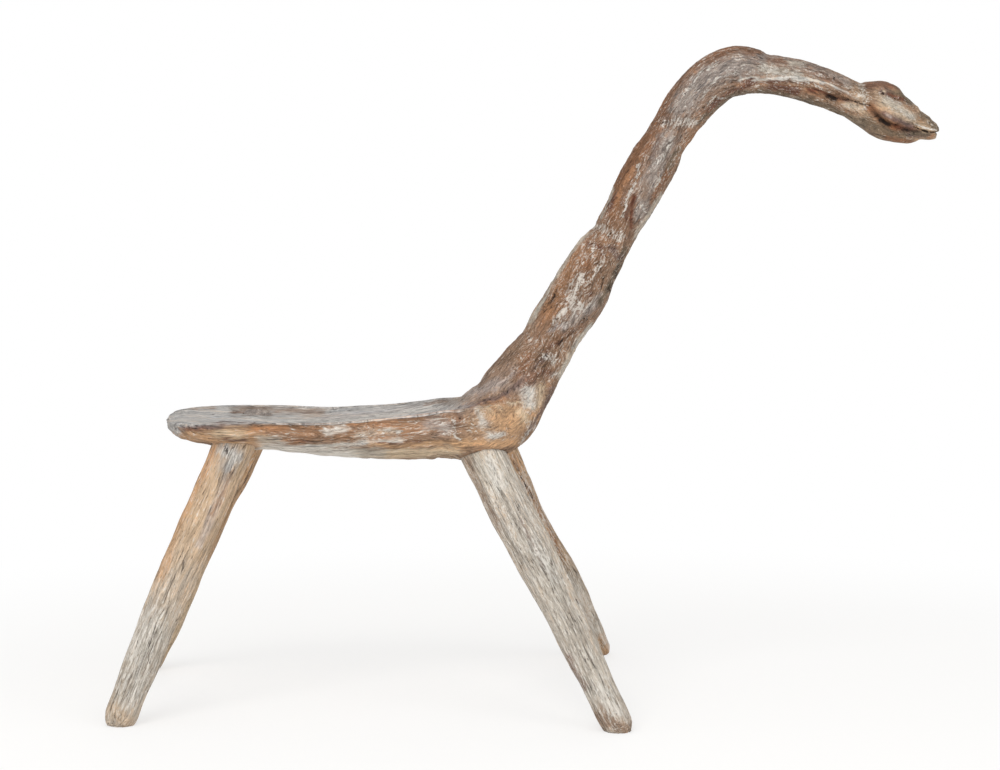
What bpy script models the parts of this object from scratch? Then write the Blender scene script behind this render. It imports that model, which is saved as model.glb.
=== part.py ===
"""A child's stool cut from a natural crook of wood: seat, neck and animal head in one piece, on four legs.

Every leg has a round tenon with a saw kerf, and a hardwood wedge in the kerf spreads it in its socket.
+X runs along the seat towards the head, +Z is up, and the sitter's left is -Y. Lengths are in metres.
"""

import math
from collections import namedtuple

import bmesh
import bpy
from mathutils import Matrix, Vector
from mathutils.bvhtree import BVHTree

# Clearances
GAP = 0.0003  # between pieces that fit together
WELD = 0.000001  # points closer than this are one point
OVERRUN = 0.006  # how far a cutter passes the surface it opens

# Seat slab, from its front end to where the crook begins to bend
SLAB_LENGTH = 0.271
SEAT_WIDTH = 0.194
SEAT_THICKNESS = 0.055
SEAT_HEIGHT = 0.281  # of the rims near the front

# Neck, from the end of the slab to the waist behind the head
NECK_REACH = 0.406
NECK_RISE = 0.360
NECK_THICKNESS = 0.058
NECK_WIDTH = 0.060
NECK_SWAY = 0.006  # how far the neck wanders off the stool's middle plane

# Head, from the waist to the nose
HEAD_REACH = 0.096
HEAD_DROP = 0.035
HEAD_DEPTH = 0.055
HEAD_WIDTH = 0.049

# Carving of the head
EYE_LENGTH = 0.031
EYE_HEIGHT = 0.013
EYE_DEPTH = 0.0028
EYE_STAND = 0.0028  # of the cutting lens's middle outside the head's side
FURROW_RADIUS = 0.0042
MOUTH_LENGTH = 0.026
MOUTH_OPENING = 0.0024

# Legs: thickness at the seat and at the foot, and how far each foot stands out from its socket
FRONT_LEG_DIAMETER = 0.0415
FRONT_FOOT_DIAMETER = 0.034
REAR_LEG_DIAMETER = 0.045
REAR_FOOT_DIAMETER = 0.0315
FRONT_LEFT_FORWARD_SPLAY = 0.1055
FRONT_RIGHT_FORWARD_SPLAY = 0.111
FRONT_LEFT_SIDE_SPLAY = 0.107
FRONT_RIGHT_SIDE_SPLAY = 0.070
REAR_LEFT_BACK_SPLAY = 0.127
REAR_RIGHT_BACK_SPLAY = 0.1255
REAR_LEFT_SIDE_SPLAY = 0.191
REAR_RIGHT_SIDE_SPLAY = 0.172
LEG_BOW = 0.003  # natural bend of the sticks

# Joints between legs and seat
FRONT_HOUSING_DEPTH = 0.007  # of the leg's full thickness in the seat
REAR_HOUSING_DEPTH = 0.014
FRONT_TENON_DIAMETER = 0.026
REAR_TENON_DIAMETER = 0.028
REAR_TENON_LENGTH = 0.024
KERF_DEPTH = 0.017
WEDGE_THICK_END = 0.0046
WEDGE_THIN_END = 0.0016
FLUSH_STAND = 0.0004  # how far the through tenons stand over the seat

# Facets
RING_SIDES = 36
LEG_SIDES = 20
EYE_SIDES = 16
FURROW_SIDES = 8
SHARP_ANGLE = math.radians(40)

# Section shapes: how much fuller than an ellipse the belly is, and the middle of a section pair
BELLY_FULLNESS_SHARE = 0.6
HEEL_FULLNESS_SHARE = 2.2  # added where the seat turns into the neck, over the rear legs
MIDWAY_SHARE = 0.5

# One cross-section of the crook. along and rise place its middle; thickness and width are whole sizes.
# rim is how far above the middle the widest line lies, and crown how far the top's middle lies, both as
# shares of half the thickness. sway moves the section sideways.
Section = namedtuple("Section", "along rise thickness width rim crown sway")

# Seat: along as shares of SLAB_LENGTH, rise of the rim over SEAT_HEIGHT and thickness as shares of
# SEAT_THICKNESS, width as shares of SEAT_WIDTH
SEAT_SHARES = [
    Section(0.000, -0.05, 0.15, 0.24, 1.0, 1.00, 0.0),
    Section(0.009, -0.04, 0.20, 0.46, 1.0, 1.00, 0.0),
    Section(0.025, -0.035, 0.27, 0.66, 1.0, 1.00, 0.0),
    Section(0.052, -0.03, 0.35, 0.82, 1.0, 0.96, 0.0),
    Section(0.095, -0.02, 0.44, 0.93, 1.0, 0.86, 0.0),
    Section(0.165, -0.01, 0.52, 0.985, 1.0, 0.73, 0.0),
    Section(0.250, 0.00, 0.58, 1.00, 1.0, 0.62, 0.0),
    Section(0.340, 0.00, 0.61, 0.99, 1.0, 0.56, 0.0),
    Section(0.445, -0.005, 0.66, 0.96, 1.0, 0.53, 0.0),
    Section(0.530, -0.02, 0.69, 0.92, 1.0, 0.54, 0.0),
    Section(0.610, -0.02, 0.73, 0.87, 1.0, 0.57, 0.0),
    Section(0.710, 0.01, 0.80, 0.82, 1.0, 0.62, 0.0),
    Section(0.810, 0.04, 0.86, 0.77, 1.0, 0.67, 0.0),
    Section(0.905, 0.09, 0.92, 0.74, 1.0, 0.72, 0.0),
    Section(1.000, 0.155, 0.99, 0.715, 1.0, 0.78, 0.0),
]

# Neck: shares of NECK_REACH, NECK_RISE, NECK_THICKNESS, NECK_WIDTH and NECK_SWAY
NECK_SHARES = [
    Section(0.047, 0.007, 1.04, 2.28, 0.86, 0.88, 0.0),
    Section(0.090, 0.017, 1.16, 2.23, 0.72, 0.97, 0.0),
    Section(0.131, 0.037, 1.29, 2.10, 0.52, 0.96, 0.0),
    Section(0.165, 0.067, 1.27, 1.84, 0.34, 0.98, 0.1),
    Section(0.190, 0.111, 1.21, 1.58, 0.22, 1.00, 0.2),
    Section(0.215, 0.152, 1.14, 1.36, 0.19, 1.00, 0.4),
    Section(0.241, 0.193, 1.07, 1.17, 0.14, 1.00, 0.6),
    Section(0.266, 0.234, 0.99, 1.08, 0.07, 1.00, 0.8),
    Section(0.288, 0.281, 0.97, 1.03, 0.0, 1.00, 0.9),
    Section(0.338, 0.365, 1.04, 1.04, 0.0, 1.00, 1.0),
    Section(0.359, 0.407, 1.03, 1.02, 0.0, 1.00, 0.9),
    Section(0.379, 0.452, 0.94, 0.96, 0.0, 1.00, 0.7),
    Section(0.402, 0.495, 0.89, 0.91, 0.0, 1.00, 0.4),
    Section(0.428, 0.538, 0.76, 0.83, 0.0, 1.00, 0.1),
    Section(0.448, 0.583, 0.76, 0.82, 0.0, 1.00, -0.2),
    Section(0.470, 0.625, 0.82, 0.85, 0.0, 1.00, -0.5),
    Section(0.502, 0.693, 0.87, 0.87, 0.0, 1.00, -0.8),
    Section(0.534, 0.760, 0.83, 0.83, 0.0, 1.00, -0.9),
    Section(0.556, 0.804, 0.76, 0.78, 0.0, 1.00, -0.8),
    Section(0.579, 0.844, 0.76, 0.80, 0.0, 1.00, -0.6),
    Section(0.604, 0.888, 0.83, 0.84, 0.0, 1.00, -0.4),
    Section(0.633, 0.928, 0.87, 0.87, 0.0, 1.00, -0.1),
    Section(0.664, 0.963, 0.88, 0.88, 0.0, 1.00, 0.2),
    Section(0.700, 0.990, 0.89, 0.88, 0.0, 1.00, 0.4),
    Section(0.744, 1.003, 0.88, 0.86, 0.0, 1.00, 0.5),
    Section(0.788, 0.998, 0.77, 0.77, 0.0, 1.00, 0.5),
    Section(0.829, 0.990, 0.69, 0.72, 0.0, 1.00, 0.4),
    Section(0.896, 0.976, 0.70, 0.70, 0.0, 1.00, 0.2),
    Section(0.958, 0.953, 0.69, 0.68, 0.0, 1.00, 0.0),
    Section(1.000, 0.932, 0.66, 0.66, 0.0, 1.00, 0.0),
]

# Head: shares of HEAD_REACH, HEAD_DROP (downwards), HEAD_DEPTH, HEAD_WIDTH and NECK_SWAY
HEAD_SHARES = [
    Section(0.083, 0.09, 0.69, 0.80, 0.0, 1.0, 0.0),
    Section(0.167, 0.18, 0.77, 0.87, 0.0, 1.0, 0.0),
    Section(0.250, 0.255, 0.87, 0.94, 0.0, 1.0, 0.0),
    Section(0.344, 0.33, 0.97, 1.00, 0.0, 1.0, 0.0),
    Section(0.427, 0.43, 1.00, 1.00, 0.0, 1.0, 0.0),
    Section(0.500, 0.55, 0.97, 0.96, 0.0, 1.0, 0.0),
    Section(0.583, 0.66, 0.89, 0.88, 0.0, 1.0, 0.0),
    Section(0.656, 0.76, 0.81, 0.78, 0.0, 1.0, 0.0),
    Section(0.740, 0.86, 0.67, 0.66, 0.0, 1.0, 0.0),
    Section(0.823, 0.90, 0.47, 0.54, 0.0, 1.0, 0.0),
    Section(0.906, 0.97, 0.37, 0.46, 0.0, 1.0, 0.0),
    Section(0.969, 1.00, 0.29, 0.37, 0.0, 1.0, 0.0),
    Section(1.000, 1.00, 0.18, 0.24, 0.0, 1.0, 0.0),
]

# Places on the head, as shares of HEAD_REACH from the waist and of HEAD_DEPTH above the head's middle line
EYE_PLACE_SHARES = (0.526, 0.37)
FURROW_SHARES = [(0.26, -0.05), (0.33, -0.155), (0.43, -0.21), (0.53, -0.19), (0.66, -0.14), (0.73, -0.11)]
FURROW_FULLNESS_SHARES = [0.25, 0.85, 1.0, 0.9, 0.6, 0.25]
MOUTH_PLACE_SHARES = (0.99, 0.0)

# How a leg's thickness runs from the floor to its shoulder: (share of the length, share of the way from the
# foot's diameter to the top's)
SWELL_SHARES = [(0.08, 0.07), (0.2, 0.25), (0.35, 0.6), (0.5, 0.85), (0.65, 1.02), (0.8, 1.04)]
# The worn foot, below and above the floor: (share of the foot's diameter along the leg, share of its radius)
FOOT_SHARES = [
    (-0.17, 0.08), (-0.15, 0.36), (-0.11, 0.54), (-0.05, 0.68), (0.03, 0.80), (0.12, 0.88), (0.22, 0.94), (0.36, 0.99),
]
STRAIGHT_TOP_SHARE = 0.86  # of a leg's length, where its bow has ended and its sides run true into the socket
SOCKET_LEVEL_SHARE = 0.56  # of SEAT_THICKNESS below SEAT_HEIGHT, where a leg's axis is placed

# One leg. along and across place its axis at socket level, splay_x and splay_y its foot from there.
Leg = namedtuple("Leg", "along across splay_x splay_y top foot tenon through bow")

# Front legs: along as a share of SLAB_LENGTH from the front end, across as a share of half of SEAT_WIDTH
FRONT_LEFT_ALONG_SHARE = 0.245
FRONT_RIGHT_ALONG_SHARE = 0.283
FRONT_ACROSS_SHARE = 0.66
# Rear legs: along as a share of NECK_REACH past the slab's end, across as a share of NECK_WIDTH
REAR_LEFT_ALONG_SHARE = 0.098
REAR_RIGHT_ALONG_SHARE = 0.131
REAR_ACROSS_SHARE = 0.53

LEGS = {
    "front_left": Leg(
        FRONT_LEFT_ALONG_SHARE * SLAB_LENGTH, -FRONT_ACROSS_SHARE * SEAT_WIDTH / 2,
        -FRONT_LEFT_FORWARD_SPLAY, -FRONT_LEFT_SIDE_SPLAY,
        FRONT_LEG_DIAMETER, FRONT_FOOT_DIAMETER, FRONT_TENON_DIAMETER, True, LEG_BOW,
    ),
    "front_right": Leg(
        FRONT_RIGHT_ALONG_SHARE * SLAB_LENGTH, FRONT_ACROSS_SHARE * SEAT_WIDTH / 2,
        -FRONT_RIGHT_FORWARD_SPLAY, FRONT_RIGHT_SIDE_SPLAY,
        FRONT_LEG_DIAMETER, FRONT_FOOT_DIAMETER, FRONT_TENON_DIAMETER, True, 0.0,
    ),
    "rear_left": Leg(
        SLAB_LENGTH + REAR_LEFT_ALONG_SHARE * NECK_REACH, -REAR_ACROSS_SHARE * NECK_WIDTH,
        REAR_LEFT_BACK_SPLAY, -REAR_LEFT_SIDE_SPLAY,
        REAR_LEG_DIAMETER, REAR_FOOT_DIAMETER, REAR_TENON_DIAMETER, False, LEG_BOW,
    ),
    "rear_right": Leg(
        SLAB_LENGTH + REAR_RIGHT_ALONG_SHARE * NECK_REACH, REAR_ACROSS_SHARE * NECK_WIDTH,
        REAR_RIGHT_BACK_SPLAY, REAR_RIGHT_SIDE_SPLAY,
        REAR_LEG_DIAMETER, REAR_FOOT_DIAMETER, REAR_TENON_DIAMETER, False, LEG_BOW,
    ),
}

# Colours of the weathered woods: base colour, roughness
CROOK_WOOD = ((0.42, 0.31, 0.22), 0.82)
LEG_WOOD = ((0.55, 0.46, 0.37), 0.85)
WEDGE_WOOD = ((0.30, 0.20, 0.13), 0.75)


def clear_scene():
    for old in list(bpy.data.objects):
        bpy.data.objects.remove(old, do_unlink=True)


def wood(name, finish):
    colour, roughness = finish
    material = bpy.data.materials.new(name)
    material.use_nodes = True
    shader = material.node_tree.nodes["Principled BSDF"]
    shader.inputs["Base Color"].default_value = (*colour, 1.0)
    shader.inputs["Roughness"].default_value = roughness
    shader.inputs["Metallic"].default_value = 0.0
    return material


def object_from(name, bm, material, parent):
    bmesh.ops.recalc_face_normals(bm, faces=bm.faces)
    mesh = bpy.data.meshes.new(name)
    bm.to_mesh(mesh)
    bm.free()
    mesh.shade_smooth()
    mesh.set_sharp_from_angle(angle=SHARP_ANGLE)
    mesh.materials.append(material)
    made = bpy.data.objects.new(name, mesh)
    made.parent = parent
    bpy.context.collection.objects.link(made)
    return made


def cutter_from(name, bm, material, parent):
    cutter = object_from(name, bm, material, parent)
    cutter.hide_render = True
    cutter.display_type = "WIRE"
    return cutter


def cut(target, cutter, operation="DIFFERENCE"):
    modifier = target.modifiers.new(cutter.name, "BOOLEAN")
    modifier.object = cutter
    modifier.operation = operation
    modifier.solver = "EXACT"


def skin(rings):
    """A closed tube of faces over rings of equally many points, with a flat cap on each end."""
    bm = bmesh.new()
    rows = [[bm.verts.new(point) for point in ring] for ring in rings]
    for low, high in zip(rows, rows[1:]):
        for i, vert in enumerate(low):
            after = (i + 1) % len(low)
            bm.faces.new((vert, low[after], high[after], high[i]))
    bm.faces.new(rows[0])
    bm.faces.new(rows[-1])
    return bm


def crook_sections():
    """All sections in metres, placed from the seat's front end at X = 0."""
    found = []
    for share in SEAT_SHARES:
        thickness = share.thickness * SEAT_THICKNESS
        middle = SEAT_HEIGHT + share.rise * SEAT_THICKNESS - thickness / 2
        found.append(Section(
            share.along * SLAB_LENGTH, middle, thickness, share.width * SEAT_WIDTH,
            share.rim, share.crown, share.sway * NECK_SWAY,
        ))
    base = found[-1]
    for share in NECK_SHARES:
        found.append(Section(
            base.along + share.along * NECK_REACH,
            base.rise + share.rise * NECK_RISE,
            share.thickness * NECK_THICKNESS,
            share.width * NECK_WIDTH,
            share.rim, share.crown, share.sway * NECK_SWAY,
        ))
    waist = found[-1]
    for share in HEAD_SHARES:
        found.append(Section(
            waist.along + share.along * HEAD_REACH,
            waist.rise - share.rise * HEAD_DROP,
            share.thickness * HEAD_DEPTH,
            share.width * HEAD_WIDTH,
            share.rim, share.crown, share.sway * NECK_SWAY,
        ))
    return found, waist


def between(before, start, end, after, t):
    """Catmull-Rom value between two sections, component by component."""
    values = []
    for p0, p1, p2, p3 in zip(before, start, end, after):
        values.append(
            p1 + t * ((p2 - p0) + t * ((2 * p0 - 5 * p1 + 4 * p2 - p3) + t * (3 * p1 - p0 - 3 * p2 + p3))) / 2
        )
    return Section(*values)


def smoothed(sections):
    """The sections with one more between each pair from the bend on, where the surface curves most."""
    found = []
    for i, section in enumerate(sections[:-1]):
        found.append(section)
        if i >= len(SEAT_SHARES):
            around = sections[i - 1], section, sections[i + 1], sections[min(i + 2, len(sections) - 1)]
            found.append(between(*around, MIDWAY_SHARE))
    found.append(sections[-1])
    return found


def section_ring(section, direction):
    """Points round one section: a dished or round top over a full belly, in the plane square to direction."""
    up = Vector((-direction.z, 0.0, direction.x))
    side = Vector((0.0, 1.0, 0.0))
    middle = Vector((section.along, section.sway, section.rise))
    half = section.thickness / 2
    rim = max(section.rim, 0.0)
    turning = max(4 * rim * (1 - rim), 0.0)
    belly_power = 2 / (2 + BELLY_FULLNESS_SHARE * rim + HEEL_FULLNESS_SHARE * turning)
    crown_power = 1 + rim
    ring = []
    for i in range(RING_SIDES):
        angle = 2 * math.pi * i / RING_SIDES
        across, height = math.cos(angle), abs(math.sin(angle))
        if math.sin(angle) >= 0:
            lift = rim + (section.crown - rim) * height**crown_power
        else:
            across = math.copysign(abs(across) ** belly_power, across)
            lift = rim - (rim + 1) * height**belly_power
        ring.append(middle + side * (across * section.width / 2) + up * (lift * half))
    return ring


def crook_rings(sections):
    rings = []
    for i, section in enumerate(sections):
        before, after = sections[max(i - 1, 0)], sections[min(i + 1, len(sections) - 1)]
        direction = Vector((after.along - before.along, 0.0, after.rise - before.rise)).normalized()
        if section.rim >= 1.0:
            direction = Vector((1.0, 0.0, 0.0))
        rings.append(section_ring(section, direction))
    return rings


def tree_of(rings):
    bm = skin(rings)
    bmesh.ops.recalc_face_normals(bm, faces=bm.faces)
    tree = BVHTree.FromBMesh(bm)
    bm.free()
    return tree


def head_drop_share(along):
    """How far the head's middle line has dropped at a share of its reach."""
    before, before_drop = 0.0, 0.0
    for share in HEAD_SHARES:
        if share.along >= along:
            part_way = (along - before) / (share.along - before)
            return before_drop + part_way * (share.rise - before_drop)
        before, before_drop = share.along, share.rise
    return before_drop


def head_point(waist, place):
    """A point in the stool's middle plane from a place on the head."""
    along, above = place
    height = waist.rise - head_drop_share(along) * HEAD_DROP + above * HEAD_DEPTH
    return Vector((waist.along + along * HEAD_REACH, 0.0, height))


def on_side(tree, point, side):
    """Where the head's surface lies beside a point of the middle plane."""
    start = Vector((point.x, side * HEAD_WIDTH, point.z))
    found, _, _, _ = tree.ray_cast(start, Vector((0.0, -side, 0.0)))
    return found


def head_tilt():
    return math.atan2(HEAD_DROP, HEAD_REACH)


def eye_cutter(name, tree, waist, side, material, parent):
    """A lens shape that leaves an almond hollow in the head's side."""
    place = on_side(tree, head_point(waist, EYE_PLACE_SHARES), side)
    bm = bmesh.new()
    lens = Matrix.Diagonal((EYE_LENGTH / 2, EYE_DEPTH + EYE_STAND, EYE_HEIGHT / 2, 1.0))
    turned = Matrix.Rotation(head_tilt(), 4, "Y") @ lens
    moved = Matrix.Translation(place + Vector((0.0, side * EYE_STAND, 0.0))) @ turned
    bmesh.ops.create_uvsphere(bm, u_segments=EYE_SIDES, v_segments=EYE_SIDES // 2, radius=1.0, matrix=moved)
    return cutter_from(name, bm, material, parent)


def furrow_cutter(name, tree, waist, side, material, parent):
    """A spindle that leaves the furrow between the cheek and the throat."""
    path = [on_side(tree, head_point(waist, place), side) for place in FURROW_SHARES]
    rings = []
    for i, (middle, fullness) in enumerate(zip(path, FURROW_FULLNESS_SHARES)):
        way = (path[min(i + 1, len(path) - 1)] - path[max(i - 1, 0)]).normalized()
        out = Vector((0.0, 1.0, 0.0))
        over = way.cross(out).normalized()
        level = over.cross(way)
        radius = FURROW_RADIUS * fullness
        ring = []
        for k in range(FURROW_SIDES):
            angle = 2 * math.pi * k / FURROW_SIDES
            ring.append(middle + (over * math.cos(angle) + level * math.sin(angle)) * radius)
        rings.append(ring)
    return cutter_from(name, skin(rings), material, parent)


def mouth_cutter(name, waist, material, parent):
    """A thin wedge across the whole snout, open at the nose."""
    nose = head_point(waist, MOUTH_PLACE_SHARES)
    turn = Matrix.Rotation(head_tilt() / 2, 4, "Y")
    back = -MOUTH_LENGTH
    front = OVERRUN
    half = MOUTH_OPENING / 2
    outline = [(back, 0.0), (front, half), (front, -half)]
    rings = []
    for side in (-1, 1):
        across = side * HEAD_WIDTH
        rings.append([nose + turn @ Vector((x, across, z)) for x, z in outline])
    return cutter_from(name, skin(rings), material, parent)


class LegPlace:
    """Where a leg runs and where it meets the seat."""

    def __init__(self, leg, tree):
        self.leg = leg
        level = SEAT_HEIGHT - SOCKET_LEVEL_SHARE * SEAT_THICKNESS
        socket = Vector((leg.along, leg.across, level))
        self.foot = Vector((leg.along + leg.splay_x, leg.across + leg.splay_y, 0.0))
        self.way = (socket - self.foot).normalized()
        underside, _, _, _ = tree.ray_cast(self.foot, self.way)
        self.entry = (underside - self.foot).length
        inside = underside + self.way * GAP
        self.top, self.top_normal, _, _ = tree.ray_cast(inside, self.way)
        self.shoulder = self.entry + (FRONT_HOUSING_DEPTH if leg.through else REAR_HOUSING_DEPTH)
        if leg.through:
            self.end = (self.top - self.foot).length + OVERRUN + leg.tenon / 2
        else:
            self.end = self.shoulder + REAR_TENON_LENGTH
        self.finish = self.top + self.top_normal * FLUSH_STAND
        outward = Vector((leg.splay_x, leg.splay_y, 0.0)).normalized()
        self.side = self.way.cross(outward).normalized()
        self.front = self.side.cross(self.way)

    def at(self, distance):
        return self.foot + self.way * distance

    def ring(self, distance, radius, offset=0.0, sides=LEG_SIDES):
        middle = self.at(distance) + self.front * offset
        found = []
        for k in range(sides):
            angle = 2 * math.pi * k / sides
            found.append(middle + (self.front * math.cos(angle) + self.side * math.sin(angle)) * radius)
        return found


def leg_radius(leg, share):
    return (leg.foot + (leg.top - leg.foot) * share) / 2


def leg_body(place):
    """The stick with its worn foot, its shoulder and its tenon, before it is trimmed."""
    leg, length = place.leg, place.shoulder
    rings = [place.ring(along * leg.foot, radius * leg.foot / 2) for along, radius in FOOT_SHARES]
    for along, swell in SWELL_SHARES:
        bow = leg.bow * math.sin(math.pi * along / STRAIGHT_TOP_SHARE) ** 2
        rings.append(place.ring(along * length, leg_radius(leg, swell), bow))
    rings.append(place.ring(STRAIGHT_TOP_SHARE * length, leg.top / 2))
    rings.append(place.ring(length, leg.top / 2))
    rings.append(place.ring(length, leg.tenon / 2))
    rings.append(place.ring(place.end, leg.tenon / 2))
    return skin(rings)


def trim(bm, point, normal):
    """Cuts away what lies beyond a plane and closes the cut with a flat face."""
    geometry = bm.verts[:] + bm.edges[:] + bm.faces[:]
    bmesh.ops.bisect_plane(bm, geom=geometry, dist=WELD, plane_co=point, plane_no=normal, clear_outer=True)
    bmesh.ops.remove_doubles(bm, verts=bm.verts, dist=WELD)
    rim = [edge for edge in bm.edges if edge.is_boundary]
    bmesh.ops.holes_fill(bm, edges=rim, sides=0)


def socket_cutter(name, place, material, parent):
    """The leg's housing and the tenon's hole, a clearance wider than both."""
    leg = place.leg
    start = STRAIGHT_TOP_SHARE * place.shoulder
    step = place.shoulder + GAP
    end = place.end + (OVERRUN if leg.through else GAP)
    rings = [
        place.ring(start, leg.top / 2 + GAP),
        place.ring(step, leg.top / 2 + GAP),
        place.ring(step, leg.tenon / 2 + GAP),
        place.ring(end, leg.tenon / 2 + GAP),
    ]
    return cutter_from(name, skin(rings), material, parent)


def wedge_prism(place, clearance, overrun):
    """A tapered plate in the tenon's end, with its flat sides square to the seat's grain."""
    leg = place.leg
    across = Vector((0.0, 1.0, 0.0))
    flat = across.cross(place.way).normalized()
    wide = place.way.cross(flat)
    outer = (place.finish - place.foot).dot(place.way) if leg.through else place.end
    inner = outer - KERF_DEPTH - clearance
    slope = (WEDGE_THICK_END - WEDGE_THIN_END) / KERF_DEPTH
    thick = WEDGE_THICK_END / 2 + clearance + slope * overrun / 2
    thin = WEDGE_THIN_END / 2 + clearance - slope * clearance / 2
    half_width = leg.tenon / 2 + overrun
    rings = []
    for distance, half in ((inner, thin), (outer + overrun, thick)):
        middle = place.at(distance)
        corners = ((-1, -1), (1, -1), (1, 1), (-1, 1))
        rings.append([middle + flat * (a * half) + wide * (b * half_width) for a, b in corners])
    return skin(rings)


def make_leg(name, place, materials, parent):
    bm = leg_body(place)
    trim(bm, Vector((0.0, 0.0, 0.0)), Vector((0.0, 0.0, -1.0)))
    if place.leg.through:
        trim(bm, place.finish, place.top_normal)
    leg = object_from(name + "_leg", bm, materials["leg"], parent)
    kerf = cutter_from(name + "_kerf_cutter", wedge_prism(place, GAP, OVERRUN), materials["wedge"], parent)
    cut(leg, kerf)
    return leg


def make_wedge(name, place, materials, parent):
    bm = wedge_prism(place, 0.0, OVERRUN if place.leg.through else 0.0)
    if place.leg.through:
        trim(bm, place.finish, place.top_normal)
    wedge = object_from(name + "_wedge", bm, materials["wedge"], parent)
    leg = place.leg
    round_rings = [place.ring(place.shoulder, leg.tenon / 2), place.ring(place.end + OVERRUN, leg.tenon / 2)]
    round_trim = cutter_from(name + "_wedge_trimmer", skin(round_rings), materials["wedge"], parent)
    cut(wedge, round_trim, "INTERSECT")
    return wedge


def centre_on_floor(nodes, root):
    """Moves the stool so that the middle of its outer size stands on the origin."""
    bpy.context.view_layer.update()
    graph = bpy.context.evaluated_depsgraph_get()
    points = []
    for node in nodes:
        shaped = node.evaluated_get(graph)
        points += [shaped.matrix_world @ vert.co for vert in shaped.data.vertices]
    low = [min(p[i] for p in points) for i in range(3)]
    high = [max(p[i] for p in points) for i in range(3)]
    root.location = (-(low[0] + high[0]) / 2, -(low[1] + high[1]) / 2, 0.0)
    bpy.context.view_layer.update()
    size = [round((b - a) * 1000, 1) for a, b in zip(low, high)]
    print("outer size in millimetres:", size)


def main():
    clear_scene()
    materials = {
        "crook": wood("weathered_crook", CROOK_WOOD),
        "leg": wood("limed_leg", LEG_WOOD),
        "wedge": wood("dark_wedge", WEDGE_WOOD),
    }
    root = bpy.data.objects.new("stool", None)
    bpy.context.collection.objects.link(root)

    sections, waist = crook_sections()
    rings = crook_rings(smoothed(sections))
    tree = tree_of(rings)
    crook = object_from("seat_neck_and_head", skin(rings), materials["crook"], root)
    for side, word in ((-1, "left"), (1, "right")):
        cut(crook, eye_cutter(word + "_eye_cutter", tree, waist, side, materials["crook"], root))
        cut(crook, furrow_cutter(word + "_furrow_cutter", tree, waist, side, materials["crook"], root))
    cut(crook, mouth_cutter("mouth_cutter", waist, materials["crook"], root))

    nodes = [crook]
    for name, leg in LEGS.items():
        place = LegPlace(leg, tree)
        cut(crook, socket_cutter(name + "_socket_cutter", place, materials["crook"], root))
        nodes.append(make_leg(name, place, materials, root))
        nodes.append(make_wedge(name, place, materials, root))
    centre_on_floor(nodes, root)
    for node in nodes:
        if node.name.endswith("_leg"):
            sole = [node.matrix_world @ v.co for v in node.data.vertices if abs(v.co.z) < GAP]
            middle = sum(sole, Vector()) / len(sole)
            print(node.name, "sole at", [round(c, 4) for c in middle])


main()
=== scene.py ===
# %% [markdown]
# # A child's stool with a carved animal head
# The real stool is a crook: a trunk and the branch that grew out of it. The trunk was hewn to a thin dished
# seat, the branch became a neck with a carved head, and four sticks were driven in as legs. Its beauty is in
# the surface: lime-washed, weathered wood with tool marks, shakes and streaks that follow the grain.
#
# The imported model gives every piece its true size and place. Here each piece is made again as a dense mesh on
# the same plan, so that the tool marks are real shape, and a few painted attributes tell the material where
# the wood is rusty, limed or dark, and where shade and highlights are painted into the colour. The first step
# loads the imported model and keeps the measures that place everything else.

# %% Load the imported model
import math
from collections import namedtuple

import bmesh
import bpy
import numpy as np
from mathutils import Matrix, Vector, noise
from mathutils.bvhtree import BVHTree
from mathutils.kdtree import KDTree


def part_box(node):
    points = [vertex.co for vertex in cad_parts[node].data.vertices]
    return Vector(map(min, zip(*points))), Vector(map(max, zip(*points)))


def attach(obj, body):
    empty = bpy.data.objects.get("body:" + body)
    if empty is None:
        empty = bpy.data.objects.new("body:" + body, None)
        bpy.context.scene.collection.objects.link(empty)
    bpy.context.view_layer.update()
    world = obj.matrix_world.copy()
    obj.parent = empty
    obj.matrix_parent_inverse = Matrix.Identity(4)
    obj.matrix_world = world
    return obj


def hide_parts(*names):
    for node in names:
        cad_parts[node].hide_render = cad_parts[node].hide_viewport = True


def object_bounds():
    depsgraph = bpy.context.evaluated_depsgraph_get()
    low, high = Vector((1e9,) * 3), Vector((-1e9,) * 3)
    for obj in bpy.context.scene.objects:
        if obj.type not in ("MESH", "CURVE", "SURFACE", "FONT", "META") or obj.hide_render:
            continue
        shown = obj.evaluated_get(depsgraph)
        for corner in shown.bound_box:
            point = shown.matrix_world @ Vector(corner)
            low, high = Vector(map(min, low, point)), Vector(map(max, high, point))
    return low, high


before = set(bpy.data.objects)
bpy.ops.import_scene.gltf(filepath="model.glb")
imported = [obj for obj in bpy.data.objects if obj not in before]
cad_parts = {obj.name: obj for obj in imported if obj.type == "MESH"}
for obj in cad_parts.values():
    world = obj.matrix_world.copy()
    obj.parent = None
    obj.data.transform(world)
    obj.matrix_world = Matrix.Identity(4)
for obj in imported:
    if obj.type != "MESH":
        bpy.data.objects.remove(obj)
CAD_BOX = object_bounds()
CROOK_LOW, CROOK_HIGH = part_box("seat_neck_and_head")
FRONT_END = CROOK_LOW.x  # the seat's front end
MIDDLE_PLANE = (CROOK_LOW.y + CROOK_HIGH.y) / 2
print("the packed pieces:", sorted(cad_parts))
print("seat front at x", round(FRONT_END, 4), "middle plane at y", round(MIDDLE_PLANE, 4))

# %% [markdown]
# ## The camera
# The photograph was taken from some 3 m away with a long lens, a little above the seat, and a touch towards
# the seat's open end. The horizon would lie 120 pixels below the picture's top, which sets the camera's
# height and its tilt. With the same numbers, a point of the model can be turned into a pixel of the
# photograph. That is how the painted marks below are placed: a pixel is where I saw a mark.

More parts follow.
